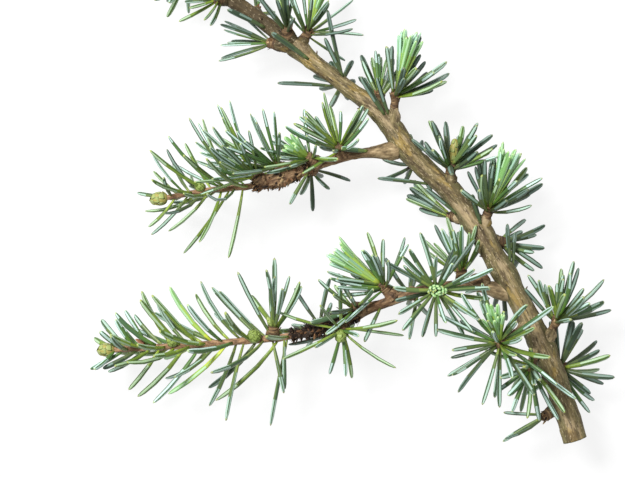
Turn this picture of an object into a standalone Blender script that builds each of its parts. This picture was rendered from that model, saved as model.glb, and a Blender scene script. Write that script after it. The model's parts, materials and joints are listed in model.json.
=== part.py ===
"""A cut branch of Atlas cedar (Cedrus atlantica, blue form), lying on a level surface.

Three woody limbs carry the foliage: the main stem, cut square at its thick end, and two side
shoots. Short spurs stand on the limbs and each ends in a rosette of needles. The last season's
growth at the end of each limb is a thin twig with single needles in a spiral, ending in a bud.

Seen from above, X runs to the right, Y away from the viewer and Z up. Growth runs from the cut
at the lower right to the tips on the left. Sizes are in millimetres, measured from the upper
fork, and MM turns them into metres. At the end the branch is laid down with the middle of its
bounding box's underside at the world origin.
"""

from dataclasses import dataclass
from math import cos, radians, sin

import bmesh
import bpy
import numpy as np

MM = 0.001
SEED = 41
GOLDEN_ANGLE = radians(137.508)

# Gap between two solids that touch in the real branch, and the least gap between two needles.
TOUCH_GAP = 0.3
NEEDLE_GAP = 0.35

# Needles: three-sided slips that keep their girth for most of their length, then a short point.
NEEDLE_RADIUS = 0.68
NEEDLE_ROOT_RADIUS = 0.5
NEEDLE_SHOULDER = 0.72
NEEDLE_SUNK = 0.15
NEEDLE_BEND = 0.05
NEEDLE_TRIES = 8
NEEDLE_SWING = 0.12
NEEDLE_NOD = 0.06

# Spurs: a stubby peg of scarred wood with a rounded head that the needles grow from.
PEG_RADIUS = 1.25
HEAD_RADIUS = 1.65
HEAD_TOP = 0.8 * HEAD_RADIUS
HEAD_TOP_RADIUS = 0.45 * HEAD_RADIUS
PEG_SIDES = 8
PEG_START = 0.3

# Young shoots: needle spacing along the twig, their length and how far they open.
YOUNG_SPACING = 1.6
YOUNG_NEEDLE = 24.0
YOUNG_TIP_NEEDLE = 9.5
YOUNG_OPEN = 56.0
YOUNG_TIP_OPEN = 36.0
YOUNG_TAPER_POWER = 1.6
YOUNG_START = 1.2
TWIG_SIDES = 8
TWIG_TAPER = 0.15
BUD_LENGTH = 4.2
BUD_RADIUS = 1.8
BUD_PROFILE = ((0.35, 1.0), (0.75, 0.75), (1.0, 0.0))
SIDE_BUD_PROFILE = ((-0.9, 0.35), (0.0, 1.0), (0.75, 0.7), (1.2, 0.0))
SIDE_BUD_SIDES = 6

LIMB_STEP = 3.2
GIRTH_POWER = 1.3


@dataclass
class Spur:
    """A spur's place and habit. Angles are in degrees.

    along is its distance from the limb's foot. roll turns it about the limb, from straight up
    towards the right-hand side of growth. lean tips it towards the limb's end. opening gives the
    narrowest and widest angle between a needle and the rosette's direction, and bend is how far
    that direction turns from the peg's in X, Y and Z.
    """

    along: float
    roll: float
    peg: float = 2.5
    lean: float = 20.0
    length: float = 15.0
    opening: tuple = (12.0, 96.0)
    needles: int = 12
    bend: tuple = (0.0, 0.0, 0.0)


@dataclass
class Limb:
    """A tapering limb with all that stands on it.

    Wood reaches from the foot to wood_end, and the young twig goes on from there to the tip. A
    swelling is (along, extra radius, half length). A side bud is (along, roll, radius).
    """

    name: str
    route: tuple
    foot_radius: float
    end_radius: float
    wood_end: float
    twig_radius: float
    sides: int
    swellings: tuple
    buds: tuple
    spurs: tuple


# Spurs from each limb's foot to its tip.
MAIN_SPURS = (
    Spur(10.6, -82, peg=3.0, lean=-14, length=15.5, opening=(8, 50), needles=8),
    Spur(19.0, 150, peg=2.5, lean=10, length=14),
    Spur(27.0, 78, peg=5.0, lean=42, length=15, opening=(10, 66)),
    Spur(29.5, -58, peg=4.5, lean=-38, length=15, opening=(12, 72), needles=11),
    Spur(
        35.0, -50, peg=11.0, lean=0, length=17.5, opening=(12, 102), needles=21,
        bend=(0.3, 0.35, 0.5),
    ),
    Spur(49.0, -170, peg=2.5, lean=0, length=12.5, opening=(10, 58), needles=8),
    Spur(62.5, 125, peg=2.5, lean=-38, length=12, opening=(8, 46), needles=9),
    Spur(63.9, 68, peg=4.0, lean=36, length=15.5, opening=(10, 68), needles=14),
    Spur(69.0, -128, peg=2.5, lean=34, length=15, opening=(8, 50), needles=11),
    Spur(
        78.3, 72, peg=3.5, lean=43, length=13.5, opening=(10, 68), needles=14,
        bend=(0.25, 0.0, 0.0),
    ),
    Spur(90.0, -168, peg=2.5, lean=10, length=11.2, opening=(10, 62), needles=8),
    Spur(
        102.0, 72, peg=6.2, lean=48, length=15.5, opening=(10, 68), needles=15,
        bend=(0.75, 0.0, 0.1),
    ),
    Spur(107.5, 132, peg=3.2, lean=42, length=13, opening=(8, 48), needles=9),
    Spur(121.0, 176, peg=2.2, lean=10, length=10.8, opening=(10, 52), needles=8),
    Spur(137.0, 88, peg=3.5, lean=8, length=15.5, opening=(12, 86), needles=14),
    Spur(139.0, 32, peg=2.5, lean=42, length=15, opening=(12, 72)),
    Spur(138.0, -108, peg=2.5, lean=62, length=14, opening=(6, 48), needles=11),
    Spur(152.0, 160, peg=2.2, lean=15, length=11.5),
    Spur(160.0, -48, peg=2.0, lean=45, length=11.5, opening=(10, 75), needles=10),
    Spur(166.5, 75, peg=2.5, lean=20, length=14),
    Spur(173.0, -140, peg=2.5, lean=20, length=13),
    Spur(178.0, 10, peg=2.0, lean=25, length=13),
)
UPPER_SPURS = (
    Spur(15.7, 48, peg=2.2, lean=12, length=14.5, opening=(12, 76), needles=13),
    Spur(22.5, 52, peg=2.6, lean=38, length=13, opening=(12, 66), needles=11),
    Spur(24.5, -168, peg=2.2, lean=10, length=14, opening=(10, 60), needles=9),
    Spur(31.0, 62, peg=2.0, lean=42, length=19.5, opening=(6, 52), needles=12),
    Spur(38.5, 50, peg=2.2, lean=34, length=20, opening=(6, 52), needles=13),
)
LOWER_SPURS = (
    Spur(13.7, 100, peg=2.6, lean=4, length=14.5, opening=(8, 62), needles=12),
    Spur(22.0, -3, peg=4.2, lean=0, length=15.5, opening=(16, 102), needles=20),
    Spur(28.0, 178, peg=2.4, lean=10, length=14, opening=(10, 66), needles=9),
    Spur(33.2, 80, peg=3.6, lean=24, length=15, opening=(10, 68), needles=13),
    Spur(42.4, 34, peg=2.0, lean=32, length=13, opening=(12, 62), needles=9),
    Spur(49.8, -42, peg=2.0, lean=4, length=16.5, opening=(34, 96), needles=12),
    Spur(55.0, 168, peg=2.2, lean=15, length=14, opening=(10, 66), needles=9),
    Spur(69.6, 62, peg=2.0, lean=-16, length=19.5, opening=(4, 42), needles=8),
)

MAIN_STEM = Limb(
    name="main_stem",
    route=(
        (49.6, -81.2, 0.0),
        (43.4, -62.2, 0.0),
        (29.8, -34.9, 0.5),
        (16.4, -14.0, 0.0),
        (3.0, -0.6, 0.0),
        (-5.8, 10.8, -0.5),
        (-18.3, 20.6, -1.0),
        (-45.2, 41.4, -1.0),
        (-68.0, 57.5, -0.5),
        (-87.6, 74.2, 0.5),
    ),
    foot_radius=3.35,
    end_radius=1.6,
    wood_end=184.0,
    twig_radius=1.1,
    sides=12,
    swellings=((51.0, 0.45, 5.0), (96.0, 0.5, 5.0)),
    buds=((198.0, 70.0, 1.5),),
    spurs=MAIN_SPURS,
)
UPPER_SHOOT = Limb(
    name="upper_shoot",
    route=(
        (0.0, 0.0, 0.0),
        (-14.3, -1.7, 1.0),
        (-28.3, -6.2, 2.5),
        (-40.6, -10.1, 3.0),
        (-50.1, -11.0, 3.0),
        (-65.0, -13.4, 2.5),
    ),
    foot_radius=1.5,
    end_radius=1.05,
    wood_end=42.0,
    twig_radius=0.85,
    sides=10,
    swellings=((3.0, 0.45, 3.0), (33.5, 1.2, 5.5)),
    buds=((56.7, 60.0, 1.4),),
    spurs=UPPER_SPURS,
)
LOWER_SHOOT = Limb(
    name="lower_shoot",
    route=(
        (31.5, -40.0, 0.3),
        (20.2, -37.9, 1.5),
        (9.0, -38.9, 2.5),
        (-10.1, -45.1, 2.5),
        (-25.5, -51.0, 1.0),
        (-47.9, -53.9, -0.5),
        (-80.0, -55.9, -1.0),
    ),
    foot_radius=1.6,
    end_radius=1.15,
    wood_end=62.5,
    twig_radius=1.0,
    sides=10,
    swellings=((4.0, 0.4, 3.0), (48.5, 0.85, 5.5)),
    buds=((74.3, 50.0, 1.9), (97.4, 75.0, 1.7)),
    spurs=LOWER_SPURS,
)
LIMBS = (MAIN_STEM, UPPER_SHOOT, LOWER_SHOOT)


def clear_scene():
    """Empty the scene, so that the script gives the same result each run."""
    for thing in list(bpy.data.objects):
        bpy.data.objects.remove(thing, do_unlink=True)


def material(name, colour, roughness):
    """A plain Principled material."""
    made = bpy.data.materials.new(name)
    made.use_nodes = True
    shader = made.node_tree.nodes["Principled BSDF"]
    shader.inputs["Base Color"].default_value = (*colour, 1.0)
    shader.inputs["Roughness"].default_value = roughness
    shader.inputs["Metallic"].default_value = 0.0
    return made


def unit(vector):
    return vector / np.linalg.norm(vector)


def smooth_route(points):
    """A cubic curve through the points, whose slope at each is that of its two neighbours.

    Returns places along the curve and their distance from its start.
    """
    points = np.array(points, dtype=float)
    chords = np.linalg.norm(np.diff(points, axis=0), axis=1)
    knots = np.concatenate([[0.0], np.cumsum(chords)])
    slopes = np.gradient(points, knots, axis=0)
    at = np.linspace(0.0, knots[-1], 600)
    span = np.clip(np.searchsorted(knots, at, side="right") - 1, 0, len(chords) - 1)
    width = chords[span][:, None]
    u = (at - knots[span])[:, None] / width
    places = (
        (2 * u**3 - 3 * u**2 + 1) * points[span]
        + (u**3 - 2 * u**2 + u) * width * slopes[span]
        + (3 * u**2 - 2 * u**3) * points[span + 1]
        + (u**3 - u**2) * width * slopes[span + 1]
    )
    steps = np.linalg.norm(np.diff(places, axis=0), axis=1)
    return places, np.concatenate([[0.0], np.cumsum(steps)])


class Route:
    """A limb's centre line, read by distance from its foot."""

    def __init__(self, limb):
        self.limb = limb
        self.places, self.distances = smooth_route(limb.route)
        self.length = self.distances[-1]

    def place(self, along):
        return np.array([np.interp(along, self.distances, axis) for axis in self.places.T])

    def frame(self, along):
        """Direction of growth, the upward normal and the right-hand side of growth."""
        growth = unit(self.place(along + 0.5) - self.place(along - 0.5))
        up = unit(np.array([0.0, 0.0, 1.0]) - growth[2] * growth)
        return growth, up, np.cross(growth, up)

    def outward(self, along, roll):
        """The direction square to the limb that is turned by roll from straight up."""
        _, up, side = self.frame(along)
        return cos(radians(roll)) * up + sin(radians(roll)) * side

    def radius(self, along):
        """Girth falls slowly near the foot and faster near the end, with local swellings.

        The young twig beyond the wood tapers evenly.
        """
        limb = self.limb
        if along > limb.wood_end:
            share = (along - limb.wood_end) / (self.length - limb.wood_end)
            return limb.twig_radius * (1.0 - TWIG_TAPER * share)
        share = (along / limb.wood_end) ** GIRTH_POWER
        plain = limb.foot_radius + (limb.end_radius - limb.foot_radius) * share
        return plain + sum(
            extra * np.exp(-(((along - middle) / half) ** 2))
            for middle, extra, half in limb.swellings
        )


def tube(name, centres, radii, sides):
    """A closed tube of rings about the centres. A last radius of zero gives a point."""
    centres = [np.asarray(centre, dtype=float) for centre in centres]
    mesh = bmesh.new()
    directions = np.gradient(np.array(centres), axis=0)
    across = unit(np.cross(directions[0], (0.31, -0.22, 0.92)))
    rings = []
    for centre, direction, radius in zip(centres, directions, radii):
        forward = unit(direction)
        across = unit(across - (across @ forward) * forward)
        beside = np.cross(forward, across)
        corners = sides if radius > 0 else 1
        turns = [2 * np.pi * corner / corners for corner in range(corners)]
        ring = [centre + radius * (cos(turn) * across + sin(turn) * beside) for turn in turns]
        rings.append([mesh.verts.new(spot * MM) for spot in ring])
    for low, high in zip(rings, rings[1:]):
        for corner in range(sides):
            after = (corner + 1) % sides
            if len(high) == 1:
                mesh.faces.new((low[corner], low[after], high[0]))
            else:
                mesh.faces.new((low[corner], low[after], high[after], high[corner]))
    mesh.faces.new(reversed(rings[0]))
    if len(rings[-1]) > 1:
        mesh.faces.new(rings[-1])
    data = bpy.data.meshes.new(name)
    mesh.to_mesh(data)
    mesh.free()
    made = bpy.data.objects.new(name, data)
    bpy.context.scene.collection.objects.link(made)
    return made


def apply_modifiers(thing):
    """Swap the object's mesh for the one its modifiers give."""
    graph = bpy.context.evaluated_depsgraph_get()
    old = thing.data
    thing.data = bpy.data.meshes.new_from_object(thing.evaluated_get(graph))
    thing.modifiers.clear()
    bpy.data.meshes.remove(old)


def keep_largest_body(thing):
    """Drop loose scraps: every connected body of faces but the largest."""
    mesh = bmesh.new()
    mesh.from_mesh(thing.data)
    mesh.verts.ensure_lookup_table()
    unseen = set(range(len(mesh.verts)))
    bodies = []
    while unseen:
        body = {unseen.pop()}
        edge_of_search = list(body)
        while edge_of_search:
            corner = mesh.verts[edge_of_search.pop()]
            for edge in corner.link_edges:
                other = edge.other_vert(corner).index
                if other in unseen:
                    unseen.discard(other)
                    body.add(other)
                    edge_of_search.append(other)
        bodies.append(body)
    largest = max(bodies, key=len)
    scraps = [corner for corner in mesh.verts if corner.index not in largest]
    bmesh.ops.delete(mesh, geom=scraps, context="VERTS")
    mesh.to_mesh(thing.data)
    mesh.free()


def fuse(core, parts):
    """Join the parts to the core with one Boolean union on a collection, then remove them.

    A part that met nothing is a loose scrap and is dropped.
    """
    group = bpy.data.collections.new(f"{core.name}_needles")
    bpy.context.scene.collection.children.link(group)
    for part in parts:
        bpy.context.scene.collection.objects.unlink(part)
        group.objects.link(part)
    union = core.modifiers.new("fuse", "BOOLEAN")
    union.operation = "UNION"
    union.operand_type = "COLLECTION"
    union.collection = group
    union.solver = "EXACT"
    apply_modifiers(core)
    for part in parts:
        bpy.data.objects.remove(part, do_unlink=True)
    bpy.data.collections.remove(group)
    keep_largest_body(core)


def cut_clear(thing, cutter):
    """Cut away what comes closer to a limb than the touch gap."""
    cut = thing.modifiers.new("clear", "BOOLEAN")
    cut.operation = "DIFFERENCE"
    cut.object = cutter
    cut.solver = "EXACT"
    apply_modifiers(thing)
    keep_largest_body(thing)


def limb_rings(route, start, end, extra=0.0):
    """Centres and radii of the rings of a limb between two distances from its foot."""
    count = max(2, round((end - start) / LIMB_STEP))
    along = np.linspace(start, end, count + 1)
    return [route.place(spot) for spot in along], [route.radius(spot) + extra for spot in along]


def make_limb(route):
    limb = route.limb
    return tube(limb.name, *limb_rings(route, 0.0, limb.wood_end), limb.sides)


def make_cutter(route):
    """The limb with its twig grown by the touch gap, used only to cut what meets them."""
    limb = route.limb
    rings = limb_rings(route, 0.0, route.length, TOUCH_GAP)
    cutter = tube(f"{limb.name}_cutter", *rings, limb.sides)
    cutter.hide_render = True
    cutter.display_type = "WIRE"
    return cutter


def distances_between(start, end, starts, ends):
    """Distance from one segment to each of many: the closest points of both, held to their ends."""
    own = end - start
    others = ends - starts
    apart = start - starts
    own_square = own @ own
    other_square = np.sum(others * others, axis=1)
    mixed = others @ own
    own_apart = apart @ own
    other_apart = np.sum(others * apart, axis=1)
    spread = own_square * other_square - mixed**2
    share = (mixed * other_apart - own_apart * other_square) / np.maximum(spread, 1e-9)
    share = np.clip(share, 0.0, 1.0)
    other_share = np.clip((mixed * share + other_apart) / other_square, 0.0, 1.0)
    share = np.clip((mixed * other_share - own_apart) / own_square, 0.0, 1.0)
    nearest = start + share[:, None] * own
    other_nearest = starts + other_share[:, None] * others
    return np.linalg.norm(nearest - other_nearest, axis=1)


class Space:
    """The room already taken, as round-ended rods, each belonging to one solid."""

    def __init__(self):
        self.starts = np.empty((0, 3))
        self.ends = np.empty((0, 3))
        self.radii = np.empty(0)
        self.owners = np.empty(0, dtype=int)

    def add(self, places, radii, owner):
        places = np.array(places)
        self.starts = np.vstack([self.starts, places[:-1]])
        self.ends = np.vstack([self.ends, places[1:]])
        self.radii = np.concatenate([self.radii, np.maximum(radii[:-1], radii[1:])])
        self.owners = np.concatenate([self.owners, np.full(len(places) - 1, owner)])

    def is_free(self, places, radius, owner):
        """Whether a rod through the places keeps its gap to everything of other owners."""
        others = self.owners != owner
        starts, ends, radii = self.starts[others], self.ends[others], self.radii[others]
        for start, end in zip(places, places[1:]):
            room = distances_between(start, end, starts, ends) - radii - radius
            if room.min() < NEEDLE_GAP:
                return False
        return True


def needle_places(root, direction, length, random):
    """Root, shoulder and tip of a needle that bends a little to one side."""
    sideways = unit(np.cross(direction, random.normal(size=3)))
    shoulder = root + NEEDLE_SHOULDER * length * direction + NEEDLE_BEND * length * sideways
    return [root, shoulder, root + length * direction]


def grow_needle(name, root, aims, length, space, owner, random):
    """Make the first needle of the given directions that keeps to free space, or none."""
    for aim in aims:
        places = needle_places(root, aim, length, random)
        leaves_head = places[0] + NEEDLE_SUNK * (places[1] - places[0])
        outside = [leaves_head, *places[1:]]
        if space.is_free(outside, NEEDLE_RADIUS, owner):
            space.add(outside, [NEEDLE_RADIUS] * 3, owner)
            return tube(name, places, [NEEDLE_ROOT_RADIUS, NEEDLE_RADIUS, 0.0], 3)
    return None


def needle_aims(axis, across, turn, opening, random):
    """Directions at an angle to an axis, each try turned a little further off the rule."""
    beside = np.cross(axis, across)
    for attempt in range(1, NEEDLE_TRIES + 1):
        swing = turn + random.normal() * NEEDLE_SWING * attempt
        open_angle = opening + random.normal() * NEEDLE_NOD * attempt
        around = cos(swing) * across + sin(swing) * beside
        yield unit(cos(open_angle) * axis + sin(open_angle) * around)


def spur_frame(route, spur):
    """Where the spur leaves its limb's centre line, its direction and the middle of its head."""
    foot = route.place(spur.along)
    growth = route.frame(spur.along)[0]
    lean = radians(spur.lean)
    axis = unit(cos(lean) * route.outward(spur.along, spur.roll) + sin(lean) * growth)
    reach = route.radius(spur.along) / cos(lean) + spur.peg
    return foot, axis, foot + reach * axis


def spur_core(route, spur):
    """Centres and radii of the peg and of the rounded head that ends it."""
    foot, axis, head = spur_frame(route, spur)
    start = foot + PEG_START * route.radius(spur.along) * axis
    centres = [start, head - HEAD_RADIUS * axis, head, head + HEAD_TOP * axis]
    return centres, [PEG_RADIUS, PEG_RADIUS, HEAD_RADIUS, HEAD_TOP_RADIUS]


def make_spur(name, route, spur, cutter, space, owner):
    """A peg from the limb with a rounded head, and a rosette of needles fused to it.

    Each needle is turned by the golden angle from the last, and they open evenly over the dome
    between the narrowest and the widest angle.
    """
    random = np.random.default_rng([SEED, owner])
    core = tube(name, *spur_core(route, spur), PEG_SIDES)
    _, peg_axis, head = spur_frame(route, spur)
    axis = unit(peg_axis + spur.bend)
    across = unit(np.cross(axis, (0.2, 0.3, 0.9)))
    narrow, wide = (cos(radians(angle)) for angle in spur.opening)
    needles = []
    for number in range(spur.needles):
        share = (number + 0.5) / spur.needles
        opening = np.arccos(narrow + (wide - narrow) * share)
        turn = number * GOLDEN_ANGLE + owner
        length = spur.length * random.uniform(0.86, 1.08)
        aims = needle_aims(axis, across, turn, opening, random)
        needle = grow_needle(f"{name}_n{number}", head, aims, length, space, owner, random)
        if needle:
            needles.append(needle)
    fuse(core, needles)
    cut_clear(core, cutter)
    return core


def young_twig(route):
    """Centres and radii of the young twig and of the bud that ends it."""
    centres, radii = limb_rings(route, route.limb.wood_end + TOUCH_GAP, route.length)
    growth = unit(centres[-1] - centres[-2])
    end = centres[-1]
    for share, girth in BUD_PROFILE:
        centres.append(end + share * BUD_LENGTH * growth)
        radii.append(girth * BUD_RADIUS)
    return centres, radii


def make_side_bud(name, route, along, roll, radius):
    """An egg-shaped bud sunk in the side of the young twig."""
    out = route.outward(along, roll)
    growth = route.frame(along)[0]
    middle = route.place(along) + (route.radius(along) + 0.4 * radius) * out
    centres = [middle + shift * radius * growth for shift, _ in SIDE_BUD_PROFILE]
    return tube(name, centres, [girth * radius for _, girth in SIDE_BUD_PROFILE], SIDE_BUD_SIDES)


def make_young_shoot(name, route, space, owner):
    """The last season's twig with its end bud, side buds and single needles in a spiral.

    Towards the tip the needles get shorter and lie closer to the twig.
    """
    random = np.random.default_rng([SEED, owner])
    core = tube(name, *young_twig(route), TWIG_SIDES)
    parts = [
        make_side_bud(f"{name}_bud{number}", route, *bud)
        for number, bud in enumerate(route.limb.buds)
    ]
    start = route.limb.wood_end + YOUNG_START
    count = int((route.length - start) / YOUNG_SPACING)
    for number in range(count):
        share = (number + 0.5) / count
        along = start + share * (route.length - start)
        growth, up, _ = route.frame(along)
        full = YOUNG_NEEDLE + (YOUNG_TIP_NEEDLE - YOUNG_NEEDLE) * share**YOUNG_TAPER_POWER
        opening = YOUNG_OPEN + (YOUNG_TIP_OPEN - YOUNG_OPEN) * share
        length = full * random.uniform(0.82, 1.05)
        spread = radians(opening + random.uniform(-7.0, 9.0))
        aims = needle_aims(growth, up, number * GOLDEN_ANGLE, spread, random)
        root = route.place(along)
        needle = grow_needle(f"{name}_n{number}", root, aims, length, space, owner, random)
        if needle:
            parts.append(needle)
    fuse(core, parts)
    return core


def lay_down(pieces):
    """Hang the pieces on an empty placed so that their box's underside is centred on the origin."""
    corners = np.vstack(
        [np.array([corner.co for corner in piece.data.vertices]) for piece in pieces]
    )
    low, high = corners.min(axis=0), corners.max(axis=0)
    branch = bpy.data.objects.new("branch", None)
    bpy.context.scene.collection.objects.link(branch)
    branch.location = (-(low[0] + high[0]) / 2, -(low[1] + high[1]) / 2, -low[2])
    for piece in pieces:
        piece.parent = branch


def paint(thing, look):
    thing.data.materials.clear()
    thing.data.materials.append(look)


def build():
    clear_scene()
    bark = material("bark", (0.30, 0.23, 0.14), 0.85)
    shoot_bark = material("shoot_bark", (0.26, 0.15, 0.09), 0.8)
    spur_needles = material("spur_needles", (0.13, 0.25, 0.21), 0.5)
    young_needles = material("young_needles", (0.12, 0.27, 0.19), 0.5)

    routes = [Route(limb) for limb in LIMBS]
    cutters = [make_cutter(route) for route in routes]
    limbs = [make_limb(route) for route in routes]
    paint(limbs[0], bark)
    for shoot in limbs[1:]:
        cut_clear(shoot, cutters[0])
        paint(shoot, shoot_bark)

    # Every mass by name. Limbs, twigs and pegs take their space before the first needle grows.
    plan = [(f"{route.limb.name}_tip", route, cutters[0], None) for route in routes]
    for route, cutter in zip(routes, cutters):
        for number, spur in enumerate(route.limb.spurs, start=1):
            plan.append((f"{route.limb.name}_spur_{number:02d}", route, cutter, spur))
    space = Space()
    for number, route in enumerate(routes, start=1):
        space.add(*limb_rings(route, 0.0, route.limb.wood_end), -number)
    for owner, (_, route, _, spur) in enumerate(plan):
        space.add(*(spur_core(route, spur) if spur else young_twig(route)), owner)

    masses = []
    for owner, (name, route, cutter, spur) in enumerate(plan):
        if spur:
            mass = make_spur(name, route, spur, cutter, space, owner)
            paint(mass, spur_needles)
        else:
            mass = make_young_shoot(name, route, space, owner)
            paint(mass, young_needles)
        masses.append(mass)
    for cutter in cutters:
        bpy.data.objects.remove(cutter, do_unlink=True)
    lay_down(limbs + masses)


build()
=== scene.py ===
"""A cut branch of blue Atlas cedar: bark, scaly knots, spur pegs, buds and every needle.

Sizes are in millimetres, measured from the upper fork, and MM turns them into metres. X runs to
the right, Y away and Z up. Growth runs from the cut at the lower right to the tips on the left.
"""

import json
from dataclasses import dataclass
from itertools import product

import bpy
import numpy as np
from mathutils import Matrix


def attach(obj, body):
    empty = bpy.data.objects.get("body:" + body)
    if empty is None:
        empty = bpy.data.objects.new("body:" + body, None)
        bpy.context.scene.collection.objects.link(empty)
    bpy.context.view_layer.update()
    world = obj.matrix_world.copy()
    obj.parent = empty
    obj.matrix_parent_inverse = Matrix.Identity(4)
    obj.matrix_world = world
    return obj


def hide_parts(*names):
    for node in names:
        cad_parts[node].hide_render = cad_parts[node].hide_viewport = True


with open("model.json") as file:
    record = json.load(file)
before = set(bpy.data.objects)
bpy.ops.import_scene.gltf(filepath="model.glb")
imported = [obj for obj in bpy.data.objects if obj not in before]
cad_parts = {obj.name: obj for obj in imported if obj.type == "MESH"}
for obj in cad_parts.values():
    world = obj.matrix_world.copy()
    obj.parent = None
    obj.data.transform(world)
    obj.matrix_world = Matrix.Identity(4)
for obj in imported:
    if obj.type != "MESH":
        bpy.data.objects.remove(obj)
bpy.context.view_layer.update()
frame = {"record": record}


# ---- Main stem ----
# The oldest wood, 6.7 mm thick at the cut and tapering to 3 mm. Its thin grey-brown bark is drawn
# into fine lengthwise ridges that run down from old needle scars. It carries all that follows.

MM = 0.001
CURVE_STEPS = 600
GIRTH_POWER = 1.3
TWIG_TAPER = 0.15
GOLDEN_ANGLE = np.radians(137.508)


def unit(vectors):
    """Each vector divided by its own length."""
    return vectors / np.linalg.norm(vectors, axis=-1, keepdims=True)


class Limb:
    """A tapering limb, read by distance from its foot.

    The centre line is a cubic curve through the route's points, whose slope at each is that of
    its two neighbours. Wood reaches from the foot to wood_end and the young twig goes on to the
    tip. A swelling is (along, extra radius, half length).
    """

    def __init__(self, name, route, foot_radius, end_radius, wood_end, twig_radius, swellings):
        self.name, self.wood_end, self.swellings = name, wood_end, swellings
        self.foot_radius, self.end_radius, self.twig_radius = foot_radius, end_radius, twig_radius
        points = np.array(route, dtype=float)
        chords = np.linalg.norm(np.diff(points, axis=0), axis=1)
        knots = np.concatenate([[0.0], np.cumsum(chords)])
        slopes = np.gradient(points, knots, axis=0)
        at = np.linspace(0.0, knots[-1], CURVE_STEPS)
        span = np.clip(np.searchsorted(knots, at, side="right") - 1, 0, len(chords) - 1)
        width = chords[span][:, None]
        u = (at - knots[span])[:, None] / width
        self.places = (
            (2 * u**3 - 3 * u**2 + 1) * points[span]
            + (u**3 - 2 * u**2 + u) * width * slopes[span]
            + (3 * u**2 - 2 * u**3) * points[span + 1]
            + (u**3 - u**2) * width * slopes[span + 1]
        )
        steps = np.linalg.norm(np.diff(self.places, axis=0), axis=1)
        self.distances = np.concatenate([[0.0], np.cumsum(steps)])
        self.length = self.distances[-1]

    def place(self, along):
        """Points of the centre line at these distances from the foot."""
        return np.stack([np.interp(along, self.distances, axis) for axis in self.places.T], -1)

    def frame(self, along):
        """Directions of growth, the upward normals and the right-hand sides of growth."""
        along = np.asarray(along, dtype=float)
        growth = unit(self.place(along + 0.5) - self.place(along - 0.5))
        up = unit(np.array([0.0, 0.0, 1.0]) - growth[..., 2:] * growth)
        return growth, up, np.cross(growth, up)

    def outward(self, along, roll):
        """The direction square to the limb, turned by roll (degrees) from straight up."""
        _, up, side = self.frame(along)
        turn = np.radians(np.asarray(roll))[..., None]
        return np.cos(turn) * up + np.sin(turn) * side

    def radius(self, along):
        """Foot radius falling with the share of the wood to a power, plus bell-shaped swellings.

        Beyond the wood it is the twig's radius with an even taper.
        """
        along = np.asarray(along, dtype=float)
        share = np.clip(along / self.wood_end, 0.0, 1.0) ** GIRTH_POWER
        wood = self.foot_radius + (self.end_radius - self.foot_radius) * share
        for middle, extra, half in self.swellings:
            wood = wood + extra * np.exp(-(((along - middle) / half) ** 2))
        beyond = (along - self.wood_end) / (self.length - self.wood_end)
        return np.where(along > self.wood_end, self.twig_radius * (1 - TWIG_TAPER * beyond), wood)


MAIN_STEM = Limb(
    name="main_stem",
    route=(
        (49.6, -81.2, 0.0), (43.4, -62.2, 0.0), (29.8, -34.9, 0.5), (16.4, -14.0, 0.0),
        (3.0, -0.6, 0.0), (-5.8, 10.8, -0.5), (-18.3, 20.6, -1.0), (-45.2, 41.4, -1.0),
        (-68.0, 57.5, -0.5), (-87.6, 74.2, 0.5),
    ),
    foot_radius=3.35,
    end_radius=1.6,
    wood_end=184.0,
    twig_radius=1.1,
    swellings=((51.0, 0.45, 5.0), (96.0, 0.5, 5.0)),
)

# The fork that all sizes are measured from, in the frame's metres. The cut end is the only mount.
CUT_END = np.array(frame["record"]["mounts"][0]["pos_m"])
FORK = CUT_END - MM * MAIN_STEM.places[0]


@dataclass
class Spur:
    """A spur's place and habit, with angles in degrees.

    along is its distance from the limb's foot. roll turns it about the limb, from straight up
    towards the right-hand side of growth. peg is how far it stands out, and lean tips it towards
    the limb's end. Its needles are of this length, number and shade. opening gives the narrowest
    and widest angle between a needle and the rosette's direction, and bend is how far that
    direction turns from the peg's in X, Y and Z. girth is its needles' own share of the limb's
    usual girth. heart names what the rosette's middle holds, and drift is how far that heart
    turns from the rosette in X and Y.
    """

    along: float
    roll: float
    peg: float
    lean: float
    length: float = 15.0
    opening: tuple = (12, 96)
    needles: int = 26
    shade: str = "blue"
    bend: tuple = (0.0, 0.0, 0.0)
    girth: float = 1.0
    heart: str = "none"
    drift: tuple = (0.0, 0.0)


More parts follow.
